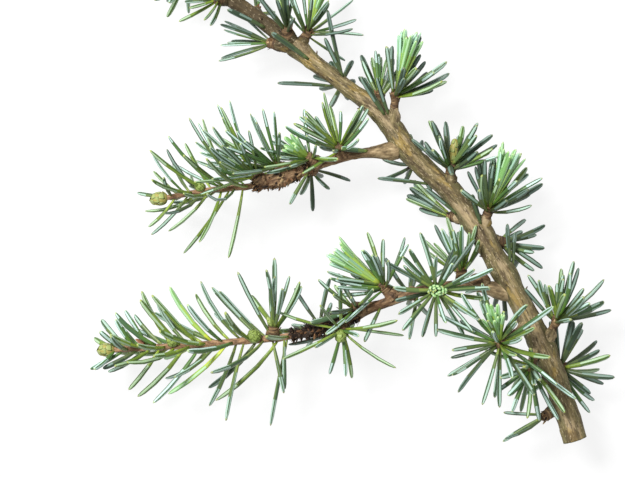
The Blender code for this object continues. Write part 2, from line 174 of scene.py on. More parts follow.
MAIN_SPURS = (
    Spur(10.6, -82, 3.0, -14, 12.5, (6, 40), 4, girth=0.7),
    Spur(19.0, 150, 2.5, 10, 14, shade="shadowed"),
    Spur(27.0, 78, 5.0, 42, 15, (10, 66), 22),
    Spur(29.5, -58, 4.5, -38, 15, (12, 72), 17, "green"),
    Spur(
        35.0, -50, 11.0, 0, 17.5, (26, 102), 26, bend=(0.3, 0.35, 0.5), girth=0.86,
        heart="fountain", drift=(-0.04, 1.2),
    ),
    Spur(49.0, -170, 2.5, 0, 12.5, (10, 58), 12, "shadowed"),
    Spur(62.5, 125, 2.5, -38, 12, (8, 46), 11, "shadowed"),
    Spur(63.9, 68, 4.0, 36, 15.5, (20, 66), 24, "shadowed", heart="fan"),
    Spur(69.0, -128, 2.5, 34, 14.5, (3, 12), 4, "shadowed", (0.0, 0.5, 0.0), heart="broom"),
    Spur(
        78.3, 72, 3.5, 43, 13.5, (12, 66), 33, "shadowed", (0.25, 0.0, 0.0), heart="stick",
        drift=(-0.1, 0.2),
    ),
    Spur(90.0, -168, 2.5, 10, 11.2, (10, 62), 10, "shadowed"),
    Spur(
        102.0, 72, 6.2, 48, 15.5, (18, 64), 19, "shadowed", (0.75, 0.0, 0.1), heart="fan",
        drift=(-0.4, 0.2),
    ),
    Spur(107.5, 132, 3.2, 42, 13, (8, 44), 12, "shadowed", heart="bundle"),
    Spur(121.0, 176, 2.2, 10, 10.8, (10, 52), 10, "shadowed"),
    Spur(137.0, 88, 3.5, 8, 15.5, (20, 80), 16, girth=0.7, heart="fan", drift=(-0.3, 0.0)),
    Spur(139.0, 32, 2.5, 42, 15, (8, 42), 12, "shadowed", (0.15, 0.35, 0.0), 0.85),
    Spur(138.0, -108, 2.5, 62, 14, (4, 32), 11, "shadowed", girth=0.62),
    Spur(152.0, 160, 2.2, 15, 11.5, (10, 40), 6, "shadowed", girth=0.7),
    Spur(160.0, -48, 2.0, 45, 11.5, (10, 60), 10, girth=0.75),
    Spur(166.5, 75, 2.5, 20, 14, (12, 84), 16, girth=0.85),
    Spur(173.0, -140, 2.5, 20, 13, (12, 84), 14, "shadowed", girth=0.85),
    Spur(178.0, 10, 2.0, 25, 13, needles=16),
)


def lumps(points, seed):
    """Smooth noise from -1 to 1: random values at whole-number lattice points, blended between
    them by 3s^2 - 2s^3 of the distance s from each.
    """
    table = np.random.default_rng(seed).uniform(-1.0, 1.0, (32, 32, 32))
    cell = np.floor(points).astype(int)
    inside = points - cell
    ease = inside**2 * (3.0 - 2.0 * inside)
    total = np.zeros(points.shape[:-1])
    for corner in product((0, 1), repeat=3):
        weight = np.prod(np.where(corner, ease, 1.0 - ease), axis=-1)
        index = (cell + corner) % 32
        total += weight * table[index[..., 0], index[..., 1], index[..., 2]]
    return total


def relief(grain, waves):
    """Sum of height * lumps, each wave (height, waves per mm around, waves per mm along, seed)."""
    return sum(
        height * lumps(grain * (around, around, along), seed)
        for height, around, along, seed in waves
    )


def turns(sides):
    """Even turns about an axis."""
    return np.linspace(0.0, 2 * np.pi, sides, endpoint=False)


def grain_of(radius, turn, along):
    """The grain (radius * cos turn, radius * sin turn, along).

    A pattern on it follows a limb without a seam.
    """
    parts = (radius * np.cos(turn), radius * np.sin(turn), along)
    return np.stack(np.broadcast_arrays(*parts), axis=-1)


def limb_grid(limb, start, end, step, sides):
    """A grid over a limb's skin: distance along it by turn about it, and its grain."""
    along = np.linspace(start, end, int(round((end - start) / step)) + 1)[:, None]
    return along, turns(sides), grain_of(limb.radius(along), turns(sides), along)


def bumps(limb, along, turn, spots, height, behind, ahead, half_width):
    """Sum of bells at the spots, each (along, turn): height * exp(-(run^2 + around^2)).

    run is the distance along divided by behind or ahead of the spot, around the arc's length
    divided by half_width.
    """
    total = np.zeros(np.broadcast(along, turn).shape)
    girth = limb.radius(along)
    for spot_along, spot_turn in spots:
        run = (along - spot_along) / np.where(along < spot_along, behind, ahead)
        arc = np.angle(np.exp(1j * (turn - spot_turn))) * girth / half_width
        total += height * np.exp(-(run**2) - arc**2)
    return total


def scars_and_feet(limb, spurs, along, turn, spacing, scar_bell, foot_bell):
    """Bumps on old needle scars, a golden angle from one to the next, and at the spurs' feet.

    A bell is the height, behind, ahead and half width of its bumps.
    """
    number = np.arange(int(limb.wood_end / spacing))
    scars = np.stack([number * spacing, number * GOLDEN_ANGLE], axis=-1)
    feet = [(spur.along, np.radians(spur.roll)) for spur in spurs]
    return bumps(limb, along, turn, scars, *scar_bell) + bumps(limb, along, turn, feet, *foot_bell)


def wall(rings, sides):
    """Quads between neighbouring rings of a closed wall, facing out."""
    ring, corner = np.meshgrid(np.arange(rings - 1), np.arange(sides), indexing="ij")
    low = ring * sides + corner
    low_next = ring * sides + (corner + 1) % sides
    return np.stack([low, low_next, low_next + sides, low + sides], axis=-1).reshape(-1, 4)


def capped(rings, sides):
    """A wall with a flat face over each end."""
    last = (rings - 1) * sides
    ends = [list(range(sides))[::-1], list(range(last, last + sides))]
    return wall(rings, sides).tolist() + ends


def add_object(name, data):
    """An object at the origin that holds this data."""
    made = bpy.data.objects.new(name, data)
    bpy.context.scene.collection.objects.link(made)
    return made


def make_piece(name, shape, finishes, grain=None):
    """A smooth-shaded mesh from a shape: points in millimetres, faces and their finish numbers."""
    points, faces, numbers = shape
    mesh = bpy.data.meshes.new(name)
    mesh.from_pydata(FORK + MM * points.reshape(-1, 3), [], faces)
    for finish in finishes:
        mesh.materials.append(finish.material)
    numbers = np.broadcast_to(numbers, len(faces)).astype(np.int32)
    mesh.polygons.foreach_set("use_smooth", np.ones(len(faces), dtype=bool))
    mesh.polygons.foreach_set("material_index", numbers)
    if grain is not None:
        attribute = mesh.attributes.new("grain", "FLOAT_VECTOR", "POINT")
        attribute.data.foreach_set("vector", grain.astype(np.float32).ravel())
    mesh.update()
    return add_object(name, mesh)


def limb_piece(name, limb, along, turn, radii, finish, grain):
    """Rings about the centre line: place + radius * (cos turn * up + sin turn * side)."""
    _, up, side = limb.frame(along[:, 0])
    around = np.cos(turn)[:, None] * up[:, None] + np.sin(turn)[:, None] * side[:, None]
    points = limb.place(along[:, 0])[:, None] + radii[..., None] * around
    return make_piece(name, (points, capped(*radii.shape), 0), [finish], grain)


def tint(red, green, blue):
    """A colour given in 0 to 255, as the shader's linear colour."""
    share = np.array([red, green, blue]) / 255.0
    linear = np.where(share <= 0.04045, share / 12.92, ((share + 0.055) / 1.055) ** 2.4)
    return (*linear.tolist(), 1.0)


class Value:
    """One shader socket. Arithmetic on it adds the Math nodes that the expression says."""

    def __init__(self, finish, socket):
        self.finish = finish
        self.socket = socket

    def maths(self, operation, *values):
        return self.finish.node("ShaderNodeMath", {"operation": operation}, dict(enumerate(values)))

    def __add__(self, other):
        return self.maths("ADD", self, other)

    def __sub__(self, other):
        return self.maths("SUBTRACT", self, other)

    def __rsub__(self, other):
        return self.maths("SUBTRACT", other, self)

    def __mul__(self, other):
        return self.maths("MULTIPLY", self, other)

    __radd__ = __add__
    __rmul__ = __mul__


class Finish:
    """A material: one Principled shader, its plain constants and the nodes that feed it."""

    def __init__(self, name, constants):
        self.material = bpy.data.materials.new(name)
        self.material.use_nodes = True
        self.tree = self.material.node_tree
        self.shader = self.tree.nodes["Principled BSDF"]
        self.colour = constants.get("Base Color")
        for socket, value in constants.items():
            self.shader.inputs[socket].default_value = value

    def fill(self, socket, value):
        """Link a Value to a socket, or set the socket to a plain value."""
        if isinstance(value, Value):
            self.tree.links.new(value.socket, socket)
        else:
            socket.default_value = value

    def node(self, kind, settings, sockets, output=0):
        """Add a node: first its settings, then the values or links of its sockets."""
        made = self.tree.nodes.new(kind)
        for name, value in settings.items():
            if name == "stops":
                for number, (position, shade) in enumerate(value):
                    if number > 1:
                        made.color_ramp.elements.new(position)
                    made.color_ramp.elements[number].position = position
                    made.color_ramp.elements[number].color = tint(*shade)
            else:
                setattr(made, name, value)
        for socket, value in sockets.items():
            self.fill(made.inputs[socket], value)
        return Value(self, made.outputs[output])

    def feed(self, socket, value):
        self.fill(self.shader.inputs[socket], value)

    def grain(self):
        """The piece's grain."""
        return self.node("ShaderNodeAttribute", {"attribute_name": "grain"}, {}, output=1)

    def grain_axis(self, axis):
        """One part of the grain: X and Y are square to the limb, Z is the distance along it."""
        return self.node("ShaderNodeSeparateXYZ", {}, {0: self.grain()}, output="XYZ".index(axis))

    def noise(self, around, along, detail, roughness=0.55):
        """Noise on the grain, in waves per millimetre around and along the limb."""
        spread = self.node(
            "ShaderNodeVectorMath",
            {"operation": "MULTIPLY"},
            {0: self.grain(), 1: (around, around, along)},
        )
        return self.node(
            "ShaderNodeTexNoise",
            {},
            {"Vector": spread, "Scale": 1.0, "Detail": detail, "Roughness": roughness},
        )

    def ramp(self, value, stops):
        """The colour that the stops, each (position, colour), give to a value."""
        return self.node("ShaderNodeValToRGB", {"stops": stops}, {"Fac": value})

    def between(self, value, low, high):
        """0 below low, 1 above high and a smooth rise between."""
        return self.node(
            "ShaderNodeMapRange",
            {"interpolation_type": "SMOOTHSTEP"},
            {"Value": value, "From Min": low, "From Max": high},
        )

    def ground(self, colour):
        """Set the finish's own colour."""
        self.colour = colour
        self.feed("Base Color", colour)

    def cover(self, share, colour):
        """Mix a colour into the finish's own by a share."""
        sockets = {0: share, 6: self.colour, 7: colour}
        self.ground(self.node("ShaderNodeMix", {"data_type": "RGBA"}, sockets, output=2))

    def lay(self, mask, low, high, share, colour):
        """Cover with a colour as a mask rises from low to high, and return the risen mask."""
        risen = self.between(mask, low, high)
        self.cover(risen * share, tint(*colour))
        return risen

    def bump(self, height, depth):
        """Small relief: a height from 0 to 1, whose 1 stands depth millimetres proud."""
        sockets = {"Height": height, "Distance": depth * MM, "Strength": 1.0}
        self.feed("Normal", self.node("ShaderNodeBump", {}, sockets))


# Grey-brown bark over tan: pale patches, partly its own tone and partly painted highlights, amber
# patches, an olive painted shade on both flanks, dark stains, fine cracks darkened partly by
# painted shade, and small pale flecks that are painted highlights. It turns a darker brown along
# the leader.
stem_bark = Finish("stem_bark", {"Specular IOR Level": 0.35})
streaks = stem_bark.noise(1.6, 0.22, 5.0, 0.62)
patches = stem_bark.noise(0.36, 0.08, 4.0, 0.6)
amber = stem_bark.noise(0.42, 0.13, 3.0)
flank_shade_breakup = stem_bark.noise(0.55, 0.11, 3.0)
stains = stem_bark.noise(0.48, 0.20, 4.0, 0.62)
cracks = stem_bark.noise(2.4, 0.36, 5.0, 0.7)
flecks = stem_bark.noise(3.0, 1.0, 3.0, 0.6)
side_share = stem_bark.grain_axis("Y")
flank = side_share.maths("ABSOLUTE", side_share)
tans = ((0.28, (57, 48, 32)), (0.44, (90, 79, 51)), (0.56, (116, 103, 69)), (0.72, (152, 137, 99)))
stem_bark.ground(stem_bark.ramp(streaks, tans))
# Pale patches: partly the bark's own paler tone and partly painted highlights.
stem_bark.lay(patches, 0.47, 0.60, 0.52, (180, 158, 124))
stem_bark.lay(amber, 0.53, 0.65, 0.55, (152, 126, 62))
# Painted shade: an olive darkening on both flanks of the stem, broken up by noise.
stem_bark.lay(flank + flank_shade_breakup * 1.6, 2.1, 3.1, 0.70, (86, 84, 50))
stem_bark.lay(stains, 0.51, 0.62, 0.70, (72, 58, 38))
# Darker brown towards the tip, along the leader.
stem_bark.lay(stem_bark.grain_axis("Z"), 130.0, 149.0, 0.90, (60, 48, 28))
# Dark fine cracks: partly the bark's own dark fissures and partly painted shade in them. The same
# mask sinks them in the bump.
crack = stem_bark.lay(cracks, 0.56, 0.70, 0.7, (52, 41, 28))
# Painted highlights: small pale flecks, raised a little by the bump.
stem_bark.lay(flecks, 0.58, 0.70, 0.65, (202, 184, 152))
stem_bark.feed("Roughness", 0.62 + 0.25 * streaks)
stem_bark.bump(streaks * 0.6 + flecks * 0.4 - crack * 0.6, 0.32)

STEM_STEP = 0.5
STEM_SIDES = 72
STEM_WAVES = ((0.16, 0.85, 0.16, 1), (0.09, 1.9, 0.50, 2), (0.30, 0.25, 0.16, 3))
SCAR_SPACING = 1.7
SCAR_BELL = (0.19, 2.2, 0.5, 0.6)
FOOT_BELL = (0.80, 3.4, 2.0, 1.8)
along, turn, grain = limb_grid(MAIN_STEM, 0.0, MAIN_STEM.wood_end, STEM_STEP, STEM_SIDES)
radii = (
    MAIN_STEM.radius(along)
    + relief(grain, STEM_WAVES)
    + scars_and_feet(MAIN_STEM, MAIN_SPURS, along, turn, SCAR_SPACING, SCAR_BELL, FOOT_BELL)
)
stem = limb_piece("main_stem_bark", MAIN_STEM, along, turn, radii, stem_bark, grain)
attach(stem, "root")
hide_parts("main_stem")


# ---- Side shoots ----
# Two shoots of younger wood that fork off the main stem. Their bark is browner and rougher, with
# a raised cushion under every needle scar and a thick knot of old bud scales near the end.

UPPER_SHOOT = Limb(
    name="upper_shoot",
    route=(
        (0.0, 0.0, 0.0), (-14.3, -1.7, 1.0), (-28.3, -6.2, 2.5), (-40.6, -10.1, 3.0),
        (-50.1, -11.0, 3.0), (-65.0, -13.4, 2.5),
    ),
    foot_radius=1.5,
    end_radius=1.05,
    wood_end=42.0,
    twig_radius=0.85,
    swellings=((3.0, 0.45, 3.0), (33.5, 1.2, 5.5)),
)
LOWER_SHOOT = Limb(
    name="lower_shoot",
    route=(
        (31.5, -40.0, 0.3), (20.2, -37.9, 1.5), (9.0, -38.9, 2.5), (-10.1, -45.1, 2.5),
        (-25.5, -51.0, 1.0), (-47.9, -53.9, -0.5), (-80.0, -55.9, -1.0),
    ),
    foot_radius=1.6,
    end_radius=1.15,
    wood_end=62.5,
    twig_radius=1.0,
    swellings=((4.0, 0.4, 3.0), (48.5, 0.85, 5.5)),
)
LIMBS = (MAIN_STEM, UPPER_SHOOT, LOWER_SHOOT)

UPPER_SPURS = (
    Spur(15.7, 48, 2.2, 12, 14.5, (24, 76), 17, "pale", heart="bundle", drift=(-0.75, 0.1)),
    Spur(22.5, 52, 2.6, 38, 13, (18, 66), 17, "green", heart="tuft", drift=(0.0, 0.15)),
    Spur(24.5, -168, 2.2, 10, 14, (10, 60), 10, "shadowed"),
    Spur(31.0, 62, 2.0, 42, 19.5, (6, 50), 18, "pale", girth=0.94),
    Spur(38.5, 50, 2.2, 34, 20, (6, 50), 18, "pale", girth=0.94),
)
LOWER_SPURS = (
    Spur(13.7, 100, 2.6, 4, 14.5, (8, 62), 18, "green"),
    Spur(22.0, -3, 4.2, 0, 15.5, (30, 102), 28, girth=0.90, heart="curls"),
    Spur(28.0, 178, 2.4, 10, 14, (10, 66), 10),
    Spur(33.2, 80, 3.6, 24, 15, (20, 70), 20, "pale", heart="fan", drift=(-0.25, -0.05)),
    Spur(42.4, 34, 2.0, 32, 13, (12, 62), 10),
    Spur(49.8, -42, 2.0, 4, 16.5, (34, 96), 13, "pale", (-0.28, -0.12, 0.0), 0.88, "round"),
    Spur(55.0, 168, 2.2, 15, 14, (10, 66), 8),
    Spur(69.6, 62, 2.0, -16, 19.5, (6, 32), 8, "green", heart="spindle", drift=(-0.6, 0.2)),
)
SPURS = ((MAIN_STEM, MAIN_SPURS), (UPPER_SHOOT, UPPER_SPURS), (LOWER_SHOOT, LOWER_SPURS))
BARE_PEGS = {"lower_shoot": (Spur(8.3, 84, 0.9, 6), Spur(9.6, 62, 0.6, 20))}

# Browner bark with pale cushions, dark furrows and a reddish cast. It is as pale as the main
# stem's by the fork, and black where the lower shoot's knot begins.
shoot_bark = Finish("shoot_bark", {"Specular IOR Level": 0.3})
furrows = shoot_bark.noise(1.3, 0.35, 5.0, 0.62)
crust = shoot_bark.noise(2.6, 1.6, 5.0, 0.65)
rust = shoot_bark.noise(0.5, 0.22, 2.0)
browns = (
    (0.34, (60, 44, 30)), (0.46, (100, 76, 54)), (0.57, (140, 112, 82)), (0.70, (180, 156, 122))
)
fork_browns = ((0.34, (84, 70, 48)), (0.50, (134, 116, 84)), (0.68, (176, 156, 122)))
shoot_bark.ground(shoot_bark.ramp(furrows, browns))
shoot_bark.lay(rust, 0.45, 0.65, 0.4, (110, 76, 50))
shoot_bark.lay(crust, 0.58, 0.70, 0.5, (168, 144, 112))
shoot_along = shoot_bark.grain_axis("Z")
near_fork = 1.0 - shoot_bark.between(shoot_along, 5.0, 17.0)
shoot_bark.cover(near_fork * 0.85, shoot_bark.ramp(furrows, fork_browns))
shoot_bark.lay(shoot_along, 46.0, 50.0, 0.8, (34, 26, 20))
shoot_bark.feed("Roughness", 0.68 + 0.2 * furrows)
shoot_bark.bump(furrows * 0.6 + crust * 0.4, 0.26)

SHOOT_STEP = 0.36
SHOOT_SIDES = 48
CUSHION_SPACING = 1.25
CUSHION_BELL = (0.16, 1.7, 0.35, 0.5)
SHOOT_FOOT_BELL = (0.35, 2.4, 1.3, 1.2)
SHOOT_WAVES = ((0.10, 0.9, 0.25), (0.06, 2.2, 0.9))
KNOT_RELIEF = 0.28
KNOT_SWELL = 0.8
KNOT_WAVES = 0.9
COLLAR_HEIGHT = 0.80
COLLAR_REACH = 5.0
for shoot, spurs, seed, knot_middle, knot_half in (
    (UPPER_SHOOT, UPPER_SPURS, 11, 33.5, 7.0),
    (LOWER_SHOOT, LOWER_SPURS, 21, 54.0, 8.0),
):
    along, turn, grain = limb_grid(shoot, 0.0, shoot.wood_end, SHOOT_STEP, SHOOT_SIDES)
    knot = np.exp(-(((along - knot_middle) / knot_half) ** 4))
    radii = (
        shoot.radius(along)
        + COLLAR_HEIGHT * np.exp(-((along / COLLAR_REACH) ** 2))
        + relief(grain, [(*wave, seed + number) for number, wave in enumerate(SHOOT_WAVES)])
        + KNOT_RELIEF * knot * (KNOT_SWELL + lumps(KNOT_WAVES * grain, seed + 2))
        + scars_and_feet(
            shoot, spurs, along, turn, CUSHION_SPACING, CUSHION_BELL, SHOOT_FOOT_BELL
        )
    )
    piece = limb_piece(f"{shoot.name}_bark", shoot, along, turn, radii, shoot_bark, grain)
    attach(piece, "root")
    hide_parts(shoot.name)


# ---- Cut end ----
# The square face left by the shears: pale wood with faint year rings round a small brown pith.
# A thin plate closes it just proud of the stem's own end, inside the rim of bark.

CUT_RINGS = 14
CUT_SIDES = 48
CUT_INSET = 0.3
CUT_PROUD = 0.06
CUT_DEPTH = 0.4
SAW_MARK = 0.03
SAW_PITCH = 5.0
RING_WAVES = 9.0

cut_wood = Finish(
    "cut_wood",
    {"Base Color": tint(222, 198, 152), "Roughness": 0.8, "Specular IOR Level": 0.2},
)
cut_radius = cut_wood.node(
    "ShaderNodeVectorMath", {"operation": "LENGTH"}, {0: cut_wood.grain()}, output=1
)
cut_wood.lay(cut_radius.maths("SINE", cut_radius * RING_WAVES), 0.55, 1.0, 0.45, (184, 148, 100))
cut_wood.cover(1.0 - cut_wood.between(cut_radius, 0.30, 0.42), tint(120, 84, 52))
cut_wood.lay(cut_radius, 2.75, 2.95, 1.0, (112, 130, 78))

cut_share = np.concatenate([[1.0], np.linspace(1.0, 0.02, CUT_RINGS - 1)])[:, None]
cut_flat = grain_of(cut_share * (MAIN_STEM.foot_radius - CUT_INSET), turns(CUT_SIDES), 0.0)
growth, up, side = MAIN_STEM.frame(0.2)
cut_proud = CUT_PROUD + SAW_MARK * np.sin(SAW_PITCH * cut_flat[..., :1])
cut_proud[0] = -CUT_DEPTH
cut_points = (
    MAIN_STEM.places[0] - cut_proud * growth + cut_flat[..., :1] * up - cut_flat[..., 1:2] * side
)
cut_face = make_piece(
    "cut_face", (cut_points, capped(CUT_RINGS, CUT_SIDES), 0), [cut_wood], cut_flat
)
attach(cut_face, "root")


# ---- Young twigs ----
# The last season's growth at the end of each limb, 2 mm thick. Its reddish-tan skin is finely
# hairy, and each needle stands on a raised cushion that runs down the twig from its root.

YOUNG_START = 1.2
# How far the needle roots stand apart, and the power that crowds them towards the tip.
YOUNG_SPACING = {"main_stem": 1.0, "upper_shoot": 0.72, "lower_shoot": 0.94}
YOUNG_CROWDING = {"main_stem": 0.80, "upper_shoot": 1.0, "lower_shoot": 0.80}
TWIG_STEP = 0.25
TWIG_SIDES = 32
TWIG_LAP = 0.6
TWIG_WAVES = ((0.04, 1.6, 0.5, 31),)
ROOT_BELL = (0.20, 1.9, 0.3, 0.36)

twig_bark = Finish("twig_bark", {"Specular IOR Level": 0.3, "Sheen Weight": 0.25})
twig_streaks = twig_bark.noise(1.6, 0.45, 4.0, 0.6)
twig_specks = twig_bark.noise(4.5, 3.0, 2.0)
twig_tans = ((0.33, (78, 56, 38)), (0.48, (122, 90, 62)), (0.66, (164, 130, 96)))
twig_bark.ground(twig_bark.ramp(twig_streaks, twig_tans))
twig_bark.lay(twig_specks, 0.60, 0.70, 0.5, (176, 148, 112))
twig_bark.feed("Roughness", 0.6 + 0.2 * twig_specks)
twig_bark.bump(twig_streaks * 0.6 + twig_specks * 0.4, 0.12)


def young_roots(limb):
    """Distances and turns of the needle roots on a young twig, each a golden angle on.

    Their shares of the twig are even ones to a power, so they may crowd towards its tip.
    """
    start = limb.wood_end + YOUNG_START
    count = int((limb.length - start) / YOUNG_SPACING[limb.name])
    number = np.arange(count)
    share = ((number + 0.5) / count) ** YOUNG_CROWDING[limb.name]
    return start + share * (limb.length - start), number * GOLDEN_ANGLE, share


for limb in LIMBS:
    along, turn, grain = limb_grid(
        limb, limb.wood_end - TWIG_LAP, limb.length, TWIG_STEP, TWIG_SIDES
    )
    root_along, root_turn, _ = young_roots(limb)
    radii = (
        limb.radius(np.maximum(along, limb.wood_end + 0.01))
        + relief(grain, TWIG_WAVES)
        + bumps(limb, along, turn, zip(root_along, root_turn), *ROOT_BELL)
    )
    piece = limb_piece(f"{limb.name}_twig", limb, along, turn, radii, twig_bark, grain)
    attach(piece, "root")


# ---- Spur pegs ----
# Each spur is a stubby peg of very short yearly growth, so it is ringed like a stack of collars.
# It grows out of its limb and ends in a rounded head that the needles stand on.

PEG_RADIUS = 1.12
HEAD_RADIUS = 1.55
HEAD_RISE = 2.2
RING_PITCH = 0.75
RING_SHARE = 0.05
BARK_SHARE = 0.35
BARK_EDGE = 0.5
PEG_SUNK = 0.3
PEG_STEPS = 26
PEG_SIDES = 20
PEG_FLARE = 0.85
FLARE_REACH = 1.5
PEG_WAVES = ((0.16, 1.0, 1.0, 41), (0.10, 2.3, 2.3, 42))
DOME_ANGLES = (0.4, 0.8, 1.2, 1.5)
LEAST_RADIUS = 0.05
# Turns about an axis are counted from a direction that none of them follows.
TURN_MARK = (0.2, 0.3, 0.9)

peg_bark = Finish("peg_bark", {"Specular IOR Level": 0.3})
peg_rings = peg_bark.noise(0.5, 2.4, 4.0, 0.6)
peg_crust = peg_bark.noise(2.4, 2.4, 3.0)
peg_browns = (
    (0.34, (50, 37, 26)), (0.48, (86, 66, 45)), (0.60, (122, 98, 68)), (0.72, (168, 142, 104))
)
peg_bark.ground(peg_bark.ramp(peg_rings, peg_browns))
peg_bark.feed("Roughness", 0.7 + 0.2 * peg_crust)
peg_bark.bump(peg_rings * 0.5 + peg_crust * 0.5, 0.2)


def spur_axis(limb, spur):
    """The foot on the centre line, the spur's direction and the middle of its head."""
    foot = limb.place(spur.along)
    growth, _, _ = limb.frame(spur.along)
    lean = np.radians(spur.lean)
    axis = unit(np.cos(lean) * limb.outward(spur.along, spur.roll) + np.sin(lean) * growth)
    reach = limb.radius(spur.along) / np.cos(lean) + spur.peg
    return foot, axis, foot + reach * axis


def about(axis, turn):
    """Directions square to an axis: cos turn * across + sin turn * beside."""
    across = unit(np.cross(axis, TURN_MARK))
    beside = np.cross(axis, across)
    return np.cos(turn)[..., None] * across + np.sin(turn)[..., None] * beside


def turned(start, axis, heights, radii, sides):
    """A surface of revolution: start + height * axis + radius * direction about the axis."""
    return start + heights[:, None, None] * axis + radii[..., None] * about(axis, turns(sides))


def joined(shapes):
    """Many shapes of (points, faces, finish number for each face) as one."""
    points = [shape[0].reshape(-1, 3) for shape in shapes]
    starts = np.cumsum([0] + [len(block) for block in points]).tolist()
    faces = [
        [corner + start for corner in face]
        for start, shape in zip(starts, shapes)
        for face in shape[1]
    ]
    numbers = [np.broadcast_to(shape[2], len(shape[1])) for shape in shapes]
    return np.concatenate(points), faces, np.concatenate(numbers)


for limb, spurs in SPURS:
    shapes, grains = [], []
    for spur in spurs + BARE_PEGS.get(limb.name, ()):
        foot, axis, head = spur_axis(limb, spur)
        start = foot + PEG_SUNK * limb.radius(spur.along) * axis
        reach = float((head - start) @ axis)
        over_head = reach + HEAD_RADIUS * np.sin(DOME_ANGLES)
        height = np.concatenate([np.linspace(0.0, reach, PEG_STEPS), over_head])
        into_head = np.clip((height - reach + HEAD_RISE) / HEAD_RISE, 0.0, 1.0)
        above_skin = np.clip(height - (reach - spur.peg), 0.0, None)
        girth = PEG_RADIUS + (HEAD_RADIUS - PEG_RADIUS) * into_head
        girth = girth + PEG_FLARE * np.exp(-((above_skin / FLARE_REACH) ** 2))
        dome = np.sqrt(np.clip(1.0 - (np.clip(height - reach, 0.0, None) / HEAD_RADIUS) ** 2, 0, 1))
        rings = 1.0 + RING_SHARE * ((height / RING_PITCH) % 1.0 - 0.5)
        grain = grain_of(PEG_RADIUS, turns(PEG_SIDES), spur.along + height[:, None])
        radii = (girth * dome * rings)[:, None] + relief(grain, PEG_WAVES)
        points = turned(start, axis, height, np.maximum(radii, LEAST_RADIUS), PEG_SIDES)
        bark_top = reach - (1.0 - BARK_SHARE) * spur.peg + BARK_EDGE * lumps(grain[:-1], 43)
        in_bark = (height[:-1, None] < bark_top).astype(int).ravel()
        shapes.append((points, capped(*radii.shape), [*in_bark, 1, 0]))
        grains.append(grain.reshape(-1, 3))
    finishes = [peg_bark, stem_bark if limb is MAIN_STEM else shoot_bark]
    piece = make_piece(f"{limb.name}_pegs", joined(shapes), finishes, np.concatenate(grains))
    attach(piece, "root")


# ---- Bud scales ----
# Dry papery scales left by each year's bud. They stand in a collar under every rosette and cover
# the knots of the side shoots in a dense dark shag.

# A slip's form: how far along it its rings stand, their girths and the section they share.
SCALE_RINGS = (0.0, 0.30, 0.62, 0.86)
SCALE_SECTION = ((1.0, 0.0), (0.55, 0.8), (-0.55, 0.8), (-1.0, 0.0), (-0.5, -0.6), (0.5, -0.6))
SCALE_FORM = (SCALE_RINGS, (0.75, 1.0, 0.85, 0.5), SCALE_SECTION)
SCALE_WIDTH = 0.30
SCALE_THICKNESS = 0.09
SCALE_BOW = -0.18
BOW_SHARES = (0.0, 1.6)
COLLAR_SCALES = 13
COLLAR_MIX = (0.40, 0.34, 0.18, 0.08)
COLLAR_GIRTH = 0.82
COLLAR_TAPER = 0.15
COLLAR_DROP = (0.1, 1.3)
COLLAR_STAND = (0.25, 1.0)
COLLAR_LENGTH = (1.1, 2.1)
SHAG_SUNK = 0.15
SHAG_SWAY = 0.5
SHAG_ENDS = (-1.4, 1.3)
# Middle, half length and count of the scales on each knot, their mix of finishes, how far they
# stand out for each step along, and their least and greatest length.
KNOTS = {
    "upper_shoot": (33.0, 6.0, 520, (0.30, 0.36, 0.20, 0.14), (0.15, 0.90), (1.0, 2.3)),
    "lower_shoot": (54.0, 7.0, 560, (0.80, 0.14, 0.05, 0.01), (0.30, 1.80), (0.9, 2.9)),
}


def plain_finishes(shades, roughness, gloss):
    """Finishes of one colour each, from their names and colours."""
    return [
        Finish(
            name, {"Base Color": tint(*shade), "Roughness": roughness, "Specular IOR Level": gloss}
        )
        for name, shade in shades.items()
    ]


scale_finishes = plain_finishes(
    {
        "scale_dark": (44, 33, 26),
        "scale_brown": (96, 68, 44),
        "scale_rust": (122, 90, 60),
        "scale_pale": (166, 140, 102),
    },
    roughness=0.75,
    gloss=0.25,
)


def across_only(ways, aims):
    """The part of each way that is square to its aim."""
    return ways - np.sum(ways * aims, -1, keepdims=True) * aims


def slips(roots, aims, fronts, lengths, half_widths, half_thicknesses, bows, form, numbers):
    """Closed slips of one form, as one shape.

    centre = root + length * (share * aim + share^2 * bow), and a corner (x, y) of the section
    stands at centre + girth * (half_width * x * across + half_thickness * y * front). The last
    ring closes in a point and the first in a flat face. numbers are the finishes of each slip's
    faces: its sides from root to point, the point's and the root's.
    """
    rings, girths, section = form
    share = np.array(rings)[None, :, None]
    girth = np.array(girths)[None, :, None, None]
    corner = np.array(section)
    fronts = unit(across_only(fronts, aims))
    across = np.cross(fronts, aims)
    lengths = lengths[:, None, None]
    centres = roots[:, None] + lengths * (share * aims[:, None] + share**2 * bows[:, None])
    wide = half_widths[:, None, None, None] * corner[:, :1] * across[:, None, None]
    thick = half_thicknesses[:, None, None, None] * corner[:, 1:] * fronts[:, None, None]
    skins = centres[:, :, None] + girth * (wide + thick)
    tips = roots + lengths[:, 0] * (aims + bows)
    points = np.concatenate([skins.reshape(len(roots), -1, 3), tips[:, None]], axis=1)
    sides, last = len(section), (len(rings) - 1) * len(section)
    fan = [[last + spot, last + (spot + 1) % sides, last + sides] for spot in range(sides)]
    faces = [*wall(len(rings), sides).tolist(), *fan, list(range(sides))[::-1]]
    starts = range(0, points.size // 3, points.shape[1])
    every = [[corner + start for corner in face] for start in starts for face in faces]
    return points, every, np.broadcast_to(numbers, (len(roots), len(faces))).ravel()


